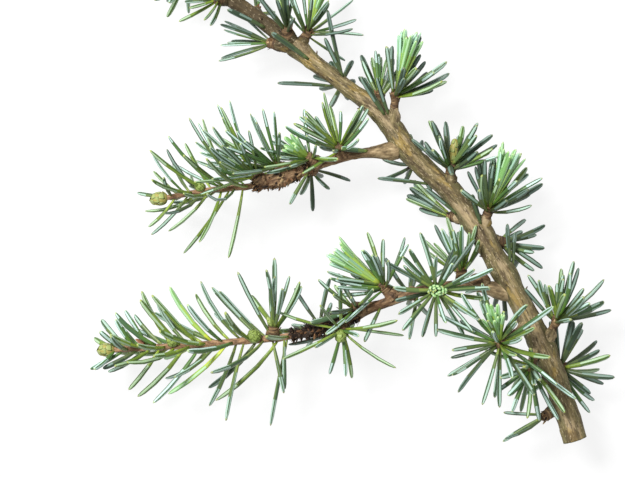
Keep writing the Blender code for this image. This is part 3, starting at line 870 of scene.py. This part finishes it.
for limb, spurs in SPURS:
    random = np.random.default_rng(50 + len(spurs))
    groups = []
    for spur in spurs:
        _, axis, head = spur_axis(limb, spur)
        out = about(axis, np.arange(COLLAR_SCALES) * GOLDEN_ANGLE)
        drop = random.uniform(*COLLAR_DROP, (COLLAR_SCALES, 1))
        roots = head - drop * axis + (COLLAR_GIRTH * HEAD_RADIUS - COLLAR_TAPER * drop) * out
        aims = unit(axis + random.uniform(*COLLAR_STAND, (COLLAR_SCALES, 1)) * out)
        groups.append((roots, aims, out, random.uniform(*COLLAR_LENGTH, COLLAR_SCALES)))
    shade = random.choice(4, COLLAR_SCALES * len(spurs), p=COLLAR_MIX)
    if limb.name in KNOTS:
        middle, half, count, mix, stands, reaches = KNOTS[limb.name]
        shade = np.concatenate([shade, random.choice(4, count, p=mix)])
        along = middle + half * np.clip(random.normal(size=count), *SHAG_ENDS)
        growth, _, _ = limb.frame(along)
        out = limb.outward(along, np.degrees(np.arange(count) * GOLDEN_ANGLE))
        roots = limb.place(along) + (limb.radius(along) - SHAG_SUNK)[:, None] * out
        stand = random.uniform(*stands, (count, 1))
        aims = unit(growth + stand * out + SHAG_SWAY * random.normal(size=(count, 3)))
        groups.append((roots, aims, out, random.uniform(*reaches, count)))
    roots, aims, fronts, sizes = map(np.concatenate, zip(*groups))
    bows = SCALE_BOW * fronts * random.uniform(*BOW_SHARES, (len(sizes), 1))
    half_thicknesses = np.full(len(sizes), SCALE_THICKNESS)
    shape = slips(
        roots, aims, fronts, sizes, SCALE_WIDTH * sizes**0.5, half_thicknesses, bows, SCALE_FORM,
        shade[:, None],
    )
    piece = make_piece(f"{limb.name}_bud_scales", shape, scale_finishes)
    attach(piece, "root")


# ---- Buds ----
# Next year's buds: an olive one at the end of each twig, round green ones on its sides, and one
# in the middle of a few rosettes. Blunt papery scales lie over each, in one or two tints.

# Along, roll, radius and height for its radius.
SIDE_BUDS = {
    "main_stem": ((198.0, 70.0, 1.5, 1.1),),
    "upper_shoot": ((56.7, 60.0, 1.4, 1.15),),
    "lower_shoot": ((74.3, 34.0, 1.9, 1.05), (97.4, 56.0, 1.7, 1.0)),
}
# For the bud in a rosette's middle: its distance from the head, radius and height for its radius.
HEART_BUDS = {"round": (1.8, 1.7, 1.15), "stick": (4.3, 1.25, 3.0), "spindle": (2.4, 0.85, 1.8)}
END_BUD_RADIUS = 1.85
END_BUD_HEIGHT = 1.35
END_BUD_SEAT = 0.9
SIDE_BUD_SEAT = 0.55
SIDE_BUD_LEAN = 0.7
BUD_SIDES = 20
BUD_LEVELS = np.linspace(-0.98, 0.98, 15)
BUD_SCALES = 14
BUD_SCALE_LEVELS = np.linspace(-0.9, 0.72, BUD_SCALES)[:, None]
BUD_SCALE_SEAT = 0.97
BUD_SCALE_LENGTHS = (0.70, 0.95)
BUD_SCALE_WIDTH = 0.52
BUD_SCALE_THICKNESS = 0.035
BUD_SCALE_CURL = -0.5
BUD_SCALE_FORM = (SCALE_RINGS, (0.9, 1.0, 0.92, 0.66), SCALE_SECTION)
BUD_BALL_STEP = 0.8
BUD_BALL_ROWS = 4
BUD_CLEARANCE = 1.5

bud_finishes = plain_finishes(
    {
        "bud_green": (124, 142, 68),
        "bud_light": (148, 164, 92),
        "bud_pale": (142, 152, 90),
        "bud_straw": (150, 142, 76),
    },
    roughness=0.5,
    gloss=0.4,
)
# For each kind: the core's finish, its scales' finish, and the finish of their edges.
BUD_KINDS = {
    "end": (3, 2, 3), "side": (0, 0, 1), "stick": (3, 2, 3), "round": (0, 0, 1),
    "spindle": (1, 1, 2),
}


def heart_direction(axis, spur):
    """The rosette's direction, turned by the heart's drift."""
    return unit(unit(axis + spur.bend) + np.array([*spur.drift, 0.0]))


def bud(middle, axis, radius, height, kind, seed):
    """An egg, radius * sqrt(1 - level^2) about the axis at radius * height * level along it.

    Its scales stand in a spiral, each aimed up the egg and curled to it.
    """
    random = np.random.default_rng([90, seed])
    core, scales, edges = BUD_KINDS[kind]
    egg_radii = radius * np.sqrt(1.0 - BUD_LEVELS**2)[:, None]
    egg = turned(middle, axis, radius * height * BUD_LEVELS, egg_radii, BUD_SIDES)
    level = BUD_SCALE_LEVELS
    girth = np.sqrt(1.0 - level**2)
    around = about(axis, np.arange(BUD_SCALES) * GOLDEN_ANGLE)
    roots = middle + radius * height * level * axis + BUD_SCALE_SEAT * radius * girth * around
    normal = unit(girth * around + level / height * axis)
    up_egg = unit(height * girth * axis - level * around)
    lengths = radius * random.uniform(*BUD_SCALE_LENGTHS, BUD_SCALES) * np.sqrt(height)
    bows = BUD_SCALE_CURL * lengths[:, None] / (radius * height**1.5) * normal
    half_widths = np.full(BUD_SCALES, BUD_SCALE_WIDTH * radius)
    half_thicknesses = np.full(BUD_SCALES, BUD_SCALE_THICKNESS * radius)
    sides = len(SCALE_SECTION)
    numbers = [scales] * (len(SCALE_RINGS) - 1) * sides + [edges] * sides + [scales]
    return (egg, capped(len(BUD_LEVELS), BUD_SIDES), core), slips(
        roots, up_egg, normal, lengths, half_widths, half_thicknesses, bows, BUD_SCALE_FORM,
        numbers,
    )


bud_room = []
for limb, spurs in SPURS:
    growth, _, _ = limb.frame(limb.length)
    middle = limb.place(limb.length) + END_BUD_SEAT * END_BUD_RADIUS * growth
    buds = [(middle, growth, END_BUD_RADIUS, END_BUD_HEIGHT, "end", 0)]
    for number, (along, roll, radius, height) in enumerate(SIDE_BUDS[limb.name], start=1):
        out = limb.outward(along, roll)
        growth, _, _ = limb.frame(along)
        middle = limb.place(along) + (limb.radius(along) + SIDE_BUD_SEAT * radius * height) * out
        axis = unit(out + SIDE_BUD_LEAN * growth)
        buds.append((middle, axis, radius, height, "side", number))
    for number, spur in enumerate(spurs):
        if spur.heart in HEART_BUDS:
            _, axis, head = spur_axis(limb, spur)
            aim = heart_direction(axis, spur)
            distance, radius, height = HEART_BUDS[spur.heart]
            buds.append((head + distance * aim, aim, radius, height, spur.heart, number))
    # Balls along each bud and above it, where no needle may pass.
    for middle, axis, radius, height, _, _ in buds:
        steps = np.arange(1.0 - height, height, BUD_BALL_STEP)
        for step, row in product(steps, range(BUD_BALL_ROWS)):
            place = middle + step * radius * axis + (0.0, 0.0, row * BUD_CLEARANCE)
            bud_room.append((place, radius))
    shape = joined([part for row in buds for part in bud(*row)])
    piece = make_piece(f"{limb.name}_buds", shape, bud_finishes)
    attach(piece, "root")


# ---- Needles ----
# Stiff evergreen needles, four-sided with blunted edges: a waxy blue-white band of pores down
# each side and a green ridge between. The root is yellow-green and the point horny and pale.

NEEDLE_RINGS = (0.0, 0.14, 0.38, 0.70, 0.89, 0.97)
NEEDLE_SECTION = (
    (1.0, -0.28), (1.0, 0.28), (0.40, 0.92), (-0.40, 0.92), (-1.0, 0.28), (-1.0, -0.28),
    (-0.40, -0.92), (0.40, -0.92),
)
NEEDLE_FORM = (NEEDLE_RINGS, (0.48, 0.68, 0.88, 1.0, 0.90, 0.58), NEEDLE_SECTION)
NEEDLE_HALF_WIDTH = 0.74
NEEDLE_HALF_THICKNESS = 0.60
SUNWARD = np.array([0.0, 0.14, 0.03])
# How many tries each needle has, and how much further each may swing and nod, in radians.
TRIES = 8
SWING = 0.10
NOD = 0.05
LEAST_ROOM = 0.02
FLOOR_ROOM = 0.5
# Only what is this near to a spray is compared with it. If nothing is, its gap is the open one.
NEAR = 5.0
OPEN_GAP = 9.0
LIMB_BALL_STEP = 0.8
PEG_BALLS = 9

# Band, ridge, root and point of each shade. The third is a darker copy of the first: painted
# shade for needles that sit in shadow.
SHADES = {
    "blue": ((152, 178, 162), (62, 86, 56), (116, 132, 64), (142, 152, 104)),
    "pale": ((174, 199, 190), (70, 100, 66), (84, 118, 46), (164, 184, 138)),
    "shadowed": ((104, 126, 114), (48, 65, 48), (84, 98, 56), (98, 110, 82)),
    "green": ((150, 175, 138), (72, 98, 42), (136, 156, 56), (148, 160, 88)),
    "fresh": ((156, 192, 146), (116, 160, 94), (176, 190, 64), (168, 194, 134)),
    "soft": ((166, 200, 180), (126, 168, 128), (166, 184, 78), (174, 202, 168)),
}
# For each kind of spray, the share of each shade in that order.
SHADE_MIX = {
    "blue": (0.52, 0.20, 0.14, 0.14, 0.0, 0.0),
    "pale": (0.34, 0.44, 0.04, 0.18, 0.0, 0.0),
    "shadowed": (0.26, 0.06, 0.56, 0.12, 0.0, 0.0),
    "green": (0.30, 0.20, 0.06, 0.42, 0.02, 0.0),
    "leaf": (0.0, 0.0, 0.72, 0.28, 0.0, 0.0),
    "fresh": (0.0, 0.04, 0.0, 0.10, 0.46, 0.40),
    "bead": (0.0, 0.0, 0.0, 0.15, 0.85, 0.0),
}
# The parts of a needle and their roughness.
PARTS = {"band": 0.50, "ridge": 0.36, "root": 0.45, "neck": 0.40, "point": 0.45}
BAND, RIDGE, ROOT, NECK, POINT = range(len(PARTS))
# In each span from root to point: the shares of faces in the root's and the neck's colour, and
# the share of the bands that has lost its wax.
ROOT_SHARE = (1.0, 0.25, 0.0, 0.0, 0.0)
NECK_SHARE = (0.0, 0.70, 0.42, 0.08, 0.0)
BARE_WAX = (0.0, 0.0, 0.22, 0.14, 0.20)
SIDE_SHARE = 0.7

# Every part in every shade. The neck's colour is midway from the root's to the ridge's.
needle_finishes = []
for shade, (band, ridge, root, point) in SHADES.items():
    neck = [0.5 * (low + high) for low, high in zip(root, ridge)]
    for (part, roughness), colour in zip(PARTS.items(), (band, ridge, root, neck, point)):
        needle_finishes += plain_finishes({f"needle_{shade}_{part}": colour}, roughness, 0.4)


def needle_face_parts(count, random):
    """Which part each face of each needle is, in the order that slips gives them.

    The sides are ridge and band by turns. Towards the root, a share of the faces takes the
    neck's colour and then the root's. Most of what decides a face's share is its side's own, so
    a side seldom changes colour more than once.
    """
    sides = len(NEEDLE_SECTION)
    parts = np.tile(np.where(np.arange(sides) % 2, BAND, RIDGE), (count, len(NEEDLE_RINGS) - 1, 1))
    side_draw = random.random((count, 1, sides))
    draw = SIDE_SHARE * side_draw + (1.0 - SIDE_SHARE) * random.random(parts.shape)
    parts[draw > 1.0 - np.array(BARE_WAX)[:, None]] = RIDGE
    root, neck = np.array(ROOT_SHARE)[:, None], np.array(NECK_SHARE)[:, None]
    parts[draw < root + neck] = NECK
    parts[draw < root] = ROOT
    ends = np.tile([POINT] * sides + [ROOT], (count, 1))
    return np.concatenate([parts.reshape(count, -1), ends], axis=1)


class Room:
    """The room already taken, as balls strung along limbs, pegs and needles."""

    def __init__(self):
        self.places = np.empty((0, 3))
        self.radii = np.empty(0)

    def take(self, places, radii):
        self.places = np.concatenate([self.places, places.reshape(-1, 3)])
        self.radii = np.concatenate([self.radii, np.broadcast_to(radii, places.size // 3)])

    def least(self, places):
        """For each try of each needle, the least gap from its skin to what is taken."""
        low, high = places.min(axis=(0, 1, 2)) - NEAR, places.max(axis=(0, 1, 2)) + NEAR
        near = np.all((self.places > low) & (self.places < high), axis=1)
        if not near.any():
            return np.full(places.shape[:2], OPEN_GAP)
        gaps = [
            np.linalg.norm(row[:, :, None] - self.places[near], axis=-1) - self.radii[near]
            for row in places
        ]
        return np.min(gaps, axis=(2, 3)) - NEEDLE_HALF_THICKNESS


room = Room()
for limb, spurs in SPURS:
    spots = np.arange(0.0, limb.length, LIMB_BALL_STEP)
    room.take(limb.place(spots), limb.radius(spots))
    for spur in spurs:
        foot, axis, head = spur_axis(limb, spur)
        share = np.linspace(0.0, 1.0, PEG_BALLS)[:, None]
        room.take(foot + share * (head - foot), PEG_RADIUS)
for place, radius in bud_room:
    room.take(place, radius)

# Shares of a needle's length at which its room is tried, and the least height of each place,
# just over the surface that the branch lies on.
SAMPLES = np.linspace(0.34, 1.0, 12)
floor_height = FLOOR_ROOM - FORK[2] / MM


def settle(roots, aims, bows, lengths):
    """Keep the first try for each needle that is clear of all that is taken.

    Tries are the first axis of aims and bows. Returns which needles have one, and their roots,
    aims, bows and lengths.
    """
    share = SAMPLES[None, None, :, None]
    reach = lengths[None, :, None, None]
    places = roots[None, :, None] + reach * (share * aims[:, :, None] + share**2 * bows[:, :, None])
    free = (room.least(places) > LEAST_ROOM) & (places[..., 2].min(axis=2) > floor_height)
    has = free.any(axis=0)
    pick = (free.argmax(axis=0)[has], np.flatnonzero(has))
    room.take(places[pick], NEEDLE_HALF_THICKNESS)
    return has, roots[has], aims[pick], bows[pick], lengths[has]


def cone(axis, opening, turn):
    """Directions that open from the axis: cos opening * axis + sin opening * about."""
    return unit(np.cos(opening)[..., None] * axis + np.sin(opening)[..., None] * about(axis, turn))


def bunch(random, roots, aims, bows, lengths, fronts, stray, girth, least, most, mix):
    """Roots, aims, fronts, lengths, bows, girths and shades of one spray's needles.

    Fronts stray from the given ones, and girths are the given one times least to most.
    """
    count = len(roots)
    fronts = fronts + stray * random.normal(size=(count, 3))
    girths = girth * random.uniform(least, most, count)
    shades = random.choice(len(SHADES), count, p=SHADE_MIX[mix])
    return roots, aims, fronts, lengths, bows, girths, shades


def needle_piece(name, bunches):
    """All needles of one kind on one limb, joined into a piece, each face in its own finish."""
    roots, aims, fronts, lengths, bows, girths, shades = map(np.concatenate, zip(*bunches))
    parts = needle_face_parts(len(roots), np.random.default_rng([75, len(roots)]))
    shape = slips(
        roots, aims, fronts, lengths, NEEDLE_HALF_WIDTH * girths, NEEDLE_HALF_THICKNESS * girths,
        bows, NEEDLE_FORM, shades[:, None] * len(PARTS) + parts,
    )
    piece = make_piece(name, shape, needle_finishes)
    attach(piece, "root")
    return piece


YOUNG_NEEDLE = 25.0
YOUNG_TIP_NEEDLE = 9.5
YOUNG_OPEN = 64.0
YOUNG_TIP_OPEN = 46.0
YOUNG_TAPER_POWER = 1.6
YOUNG_GIRTH = {"main_stem": 0.98, "upper_shoot": 0.84, "lower_shoot": 1.10}
YOUNG_LENGTHS = (0.74, 1.05)
YOUNG_OPEN_STRAY = (-17, 15)
YOUNG_SWAY = (0.5, 2.3)
LOW_SIDE_SWAY = 0.9
YOUNG_STRAY = 0.05
YOUNG_SUNK = 0.1


def grow_young_needles(limb, seed):
    """Single needles in a spiral on a young twig, shorter and closer to it towards the tip.

    length = first + (last - first) * share^power. Each bows towards +Y, those that point away
    from it the most.
    """
    random = np.random.default_rng([70, seed])
    along, turn, share = young_roots(limb)
    count = len(along)
    growth, up, side = limb.frame(along)
    full = YOUNG_NEEDLE + (YOUNG_TIP_NEEDLE - YOUNG_NEEDLE) * share**YOUNG_TAPER_POWER
    lengths = full * random.uniform(*YOUNG_LENGTHS, count)
    opening = YOUNG_OPEN + (YOUNG_TIP_OPEN - YOUNG_OPEN) * share
    opening = opening + random.uniform(*YOUNG_OPEN_STRAY, count)
    effort = np.arange(TRIES)[:, None]
    spread = np.radians(opening) + NOD * effort * random.normal(size=(TRIES, count))
    swing = turn + SWING * effort * random.normal(size=(TRIES, count))
    around = np.cos(swing)[..., None] * up + np.sin(swing)[..., None] * side
    aims = unit(np.cos(spread)[..., None] * growth + np.sin(spread)[..., None] * around)
    sway = SUNWARD * random.uniform(*YOUNG_SWAY, (count, 1))
    sway = sway + YOUNG_STRAY * random.normal(size=(count, 3))
    sway = sway * (1.0 + LOW_SIDE_SWAY * np.clip(-aims[..., 1:2], 0.0, 1.0))
    foot = np.cos(turn)[:, None] * up + np.sin(turn)[:, None] * side
    roots = limb.place(along) + (limb.radius(along) - YOUNG_SUNK)[:, None] * foot
    has, *settled = settle(roots, aims, across_only(sway, aims), lengths)
    girth = YOUNG_GIRTH[limb.name]
    return bunch(
        random, *settled, growth[has], stray=0.5, girth=girth, least=0.92, most=1.10, mix="green"
    )


for seed, limb in enumerate(LIMBS):
    piece = needle_piece(f"{limb.name}_young_needles", [grow_young_needles(limb, seed)])
    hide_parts(f"{limb.name}_tip")


# ---- Fresh needles ----
# This year's needles in the middle of some rosettes: a soft light-green brush, a short tuft, a
# fountain, or a bead-like cluster of curled points that have just broken their bud.

# Count, opening in degrees from inmost to outmost, share of the rosette's length, girth, flare
# and shades.
BRUSHES = {
    "fan": (16, (1.0, 7.5), (1.02, 1.15), 0.90, 0.90, "fresh"),
    "broom": (11, (1.0, 8.0), (0.90, 1.03), 1.15, 0.35, "leaf"),
    "bundle": (8, (1.0, 8.0), (0.88, 1.04), 0.9, 0.5, "green"),
    "tuft": (11, (2.0, 14.0), (0.46, 0.66), 1.0, 0.3, "bead"),
    "fountain": (14, (1.5, 12.0), (0.50, 0.68), 0.92, 0.5, "bead"),
    "curls": (20, (4.0, 40.0), (0.13, 0.17), 0.78, -0.45, "bead"),
}
BRUSH_SPREAD = 2.2
BRUSH_RISE = 0.45
BRUSH_STRAY = 0.02
CURL_RISE = 0.75
CURL_SPREAD = (3.1, 1.1, 1.0)
# Later needles keep clear of a brush, and of the same brush raised by each of these heights.
BRUSH_CLEARANCE = (0.0, 1.5, 3.0, 4.5)


def grow_brush(limb, spur, seed):
    """Needles in a narrow cone about the heart's direction, a golden angle apart.

    opening = inmost + (outmost - inmost) * the square root of the needle's share, and each bows
    outwards by the flare.
    """
    random = np.random.default_rng([80, seed])
    count, (inmost, outmost), shares, girth, flare, mix = BRUSHES[spur.heart]
    _, axis, head = spur_axis(limb, spur)
    aim = heart_direction(axis, spur)
    share = (np.arange(count) + 0.5) / count
    opening = np.radians(inmost + (outmost - inmost) * np.sqrt(share))
    aims = cone(aim, opening, np.arange(count) * GOLDEN_ANGLE)
    out = across_only(aims, aim)
    bows = flare * out + BRUSH_STRAY * random.normal(size=(count, 3))
    lengths = spur.length * random.uniform(*shares, count)
    roots = head + BRUSH_RISE * HEAD_RADIUS * aim + BRUSH_SPREAD * out
    if spur.heart == "curls":
        roots = head + CURL_RISE * HEAD_RADIUS * aim + out * CURL_SPREAD
    places = roots[:, None] + lengths[:, None, None] * SAMPLES[:, None] * aims[:, None]
    for height in BRUSH_CLEARANCE:
        room.take(places + (0.0, 0.0, height), NEEDLE_HALF_THICKNESS)
    return bunch(
        random, roots, aims, bows, lengths, -out, stray=0.05, girth=girth, least=0.9, most=1.08,
        mix=mix,
    )


for limb, spurs in SPURS:
    hearts = [(spur, seed) for seed, spur in enumerate(spurs) if spur.heart in BRUSHES]
    bunches = [grow_brush(limb, spur, seed) for spur, seed in hearts]
    piece = needle_piece(f"{limb.name}_fresh_needles", bunches)


# ---- Rosettes ----
# Up to thirty-three full-grown needles round the head of every spur. They are last year's and
# older, and most rosettes spread like the spokes of an open umbrella.

STRAY = 0.12
ROOT_SPREAD = 0.6
ROOT_RISE = 0.2
ROOT_DROP = 1.3
# Most, fall and power: a needle's share of the spur's length is most - fall * draw^power.
ROSETTE_LENGTHS = (1.08, 0.42, 1.6)
ROSETTE_SWAY = (0.0, 1.2)
AXIS_SWAY = 0.04
STRAY_SWAY = 0.075
ROSETTE_GIRTH = {"main_stem": 1.06, "upper_shoot": 0.84, "lower_shoot": 0.96}


def grow_rosette(limb, spur, seed):
    """Needles over the dome of a spur's head, each a golden angle on from the last.

    They open evenly over the dome between the narrowest and the widest angle, and bow a little
    towards the spur's axis or to one side.
    """
    random = np.random.default_rng([60, seed])
    _, peg_axis, head = spur_axis(limb, spur)
    axis = unit(peg_axis + spur.bend)
    order = np.arange(spur.needles)
    share = (order + 0.5) / spur.needles
    narrow, wide = np.cos(np.radians(spur.opening))
    effort = np.arange(TRIES)[:, None]
    tries = (TRIES, spur.needles)
    even = np.arccos(narrow + (wide - narrow) * share) + STRAY * random.normal(size=spur.needles)
    opening = even + NOD * effort * random.normal(size=tries)
    turn = order * GOLDEN_ANGLE + seed + SWING * effort * random.normal(size=tries)
    turn = turn + 2.0 * STRAY * random.normal(size=spur.needles)
    aims = cone(axis, np.abs(opening), turn)
    most, fall, power = ROSETTE_LENGTHS
    lengths = spur.length * (most - fall * random.random(spur.needles) ** power)
    sway = SUNWARD * random.uniform(*ROSETTE_SWAY, (spur.needles, 1)) + AXIS_SWAY * axis
    sway = sway + STRAY_SWAY * random.normal(size=(spur.needles, 3))
    rise = ROOT_RISE - ROOT_DROP * share[:, None]
    roots = head + ROOT_SPREAD * HEAD_RADIUS * aims[0] + rise * axis
    _, *settled = settle(roots, aims, across_only(sway, aims), lengths)
    girth = spur.girth * ROSETTE_GIRTH[limb.name]
    return bunch(
        random, *settled, axis, stray=0.35, girth=girth, least=0.88, most=1.12, mix=spur.shade
    )


for limb, spurs in SPURS:
    bunches = [grow_rosette(limb, spur, seed) for seed, spur in enumerate(spurs, start=1)]
    piece = needle_piece(f"{limb.name}_rosettes", bunches)
    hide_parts(*[f"{limb.name}_spur_{number:02d}" for number in range(1, len(spurs) + 1)])


# ---- Needles on old wood ----
# A few single needles still stand on the main stem and on the side shoots. They were never shed
# with the rest, and most lie forward along the bark.

# Along, roll, angle to the limb and length.
OLD_NEEDLES = {
    "main_stem": (
        (132.9, -12.0, 13.0, 12.9), (122.8, 66.0, 40.0, 18.0), (122.2, 52.0, 30.0, 12.0),
        (123.1, -80.0, 31.0, 15.0), (106.5, 18.0, 18.0, 12.9), (105.8, 44.0, 24.0, 11.2),
        (84.3, -86.0, 33.0, 13.8), (72.3, -66.0, 11.0, 11.2), (65.9, 30.0, 23.0, 9.2),
        (52.8, 70.0, 22.0, 10.6), (51.6, 88.0, 30.0, 9.0), (148.0, -30.0, 22.0, 12.0),
        (158.0, 60.0, 30.0, 13.0),
    ),
    "upper_shoot": ((8.6, 20.0, 24.0, 8.5), (26.5, -75.0, 38.0, 10.0)),
    "lower_shoot": (
        (27.0, -70.0, 62.0, 12.0), (38.0, -50.0, 48.0, 11.0), (66.2, -84.0, 82.0, 13.0),
        (69.4, -80.0, 97.0, 14.0), (65.4, -100.0, 68.0, 24.0),
    ),
}
OLD_GIRTH = 1.05
OLD_BOW = 0.07


def standing(limb, along, roll, opening, sunk):
    """Roots sunk in a limb's skin, aims at an angle to its growth, and the ways out of it."""
    growth, _, _ = limb.frame(along)
    out = limb.outward(along, roll)
    lean = np.radians(opening)[:, None]
    roots = limb.place(along) + (limb.radius(along) - sunk)[:, None] * out
    return roots, np.cos(lean) * growth + np.sin(lean) * out, out


for limb in LIMBS:
    along, roll, opening, lengths = np.array(OLD_NEEDLES[limb.name]).T
    roots, aims, out = standing(limb, along, roll, opening, sunk=0.1)
    girths = np.full(len(along), OLD_GIRTH)
    # On the main stem they take the darker copy of the needle colours, which is painted shade.
    shades = np.full(len(along), list(SHADES).index("shadowed" if limb is MAIN_STEM else "blue"))
    old_needles = (roots, aims, out, lengths, OLD_BOW * out, girths, shades)
    piece = needle_piece(f"{limb.name}_old_needles", [old_needles])


# ---- Bracts and snags ----
# Thin reddish bracts that never fell, most of them on the young twigs, and the broken feet of old
# needles and spurs that stand out of the main stem's bark.

# Along, roll, angle to the limb, length, half width, half thickness and finish.
BRACTS = {
    "main_stem": ((114.0, 60.0, 60.0, 4.2, 0.55, 0.10, 0), (204.0, 40.0, 50.0, 3.0, 0.8, 0.10, 0)),
    "upper_shoot": ((61.0, 40.0, 50.0, 2.6, 0.8, 0.10, 0),),
    "lower_shoot": (
        (105.0, 55.0, 48.0, 4.2, 1.15, 0.10, 0),
        (103.6, 75.0, 60.0, 3.0, 0.9, 0.10, 0),
    ),
}
# Where the snags stand, and the rest of their row, which they share.
SNAGS = ((132.0, 85.0), (93.0, 88.0), (44.0, 85.0), (113.0, -80.0), (58.0, -70.0), (150.0, 10.0))
SNAG = (62.0, 1.5, 0.34, 0.30, 1)
BRACT_BOW = -0.15
bract_finishes = [
    Finish("bract", {"Base Color": tint(158, 108, 80), "Roughness": 0.7}),
    Finish("snag", {"Base Color": tint(78, 58, 42), "Roughness": 0.85}),
]
for limb in LIMBS:
    rows = [*BRACTS[limb.name]]
    if limb is MAIN_STEM:
        rows += [(*spot, *SNAG) for spot in SNAGS]
    along, roll, opening, lengths, half_widths, half_thicknesses, kind = np.array(rows).T
    roots, aims, out = standing(limb, along, roll, opening, sunk=0.2)
    shape = slips(
        roots, aims, out, lengths, half_widths, half_thicknesses, BRACT_BOW * out, SCALE_FORM,
        kind.astype(int)[:, None],
    )
    piece = make_piece(f"{limb.name}_bracts", shape, bract_finishes)
    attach(piece, "root")


# ---- Floor, light and camera ----
# A plain white table under the branch, a broad soft lamp at the upper left and an even white sky,
# sized in metres. The camera hangs straight above the middle of the view.

VIEW_MIDDLE = (-23.94, -24.78)
VIEW_WIDTH = 175.0
CAMERA_HEIGHT = 600.0
SENSOR = 36.0
HALF_FLOOR = 2.0
WHITE = (1.0, 1.0, 1.0, 1.0)

floor_paint = Finish(
    "floor_paint",
    {
        "Base Color": tint(96, 96, 96),
        "Roughness": 0.9,
        "Emission Color": WHITE,
        "Emission Strength": 0.84,
    },
)
floor_mesh = bpy.data.meshes.new("floor")
floor_corners = HALF_FLOOR * np.array([(-1, -1, 0), (1, -1, 0), (1, 1, 0), (-1, 1, 0)])
floor_mesh.from_pydata(floor_corners, [], [(0, 1, 2, 3)])
floor_mesh.materials.append(floor_paint.material)
add_object("floor", floor_mesh)

lamp_data = bpy.data.lights.new("lamp", "AREA")
lamp_data.shape = "DISK"
lamp_data.size = 0.32
lamp_data.energy = 13.0
lamp = add_object("lamp", lamp_data)
lamp.location = (-0.35, 0.30, 0.75)
lamp.rotation_euler = lamp.location.to_track_quat("Z", "Y").to_euler()

sky = bpy.data.worlds.new("sky")
sky.use_nodes = True
sky.node_tree.nodes["Background"].inputs["Color"].default_value = WHITE
sky.node_tree.nodes["Background"].inputs["Strength"].default_value = 0.5
bpy.context.scene.world = sky
bpy.context.scene.view_settings.view_transform = "Standard"

camera_data = bpy.data.cameras.new("camera")
camera_data.sensor_width = SENSOR
camera_data.lens = SENSOR * CAMERA_HEIGHT / VIEW_WIDTH
camera = add_object("camera", camera_data)
camera.location = FORK + MM * np.array([*VIEW_MIDDLE, CAMERA_HEIGHT])
bpy.context.scene.camera = camera
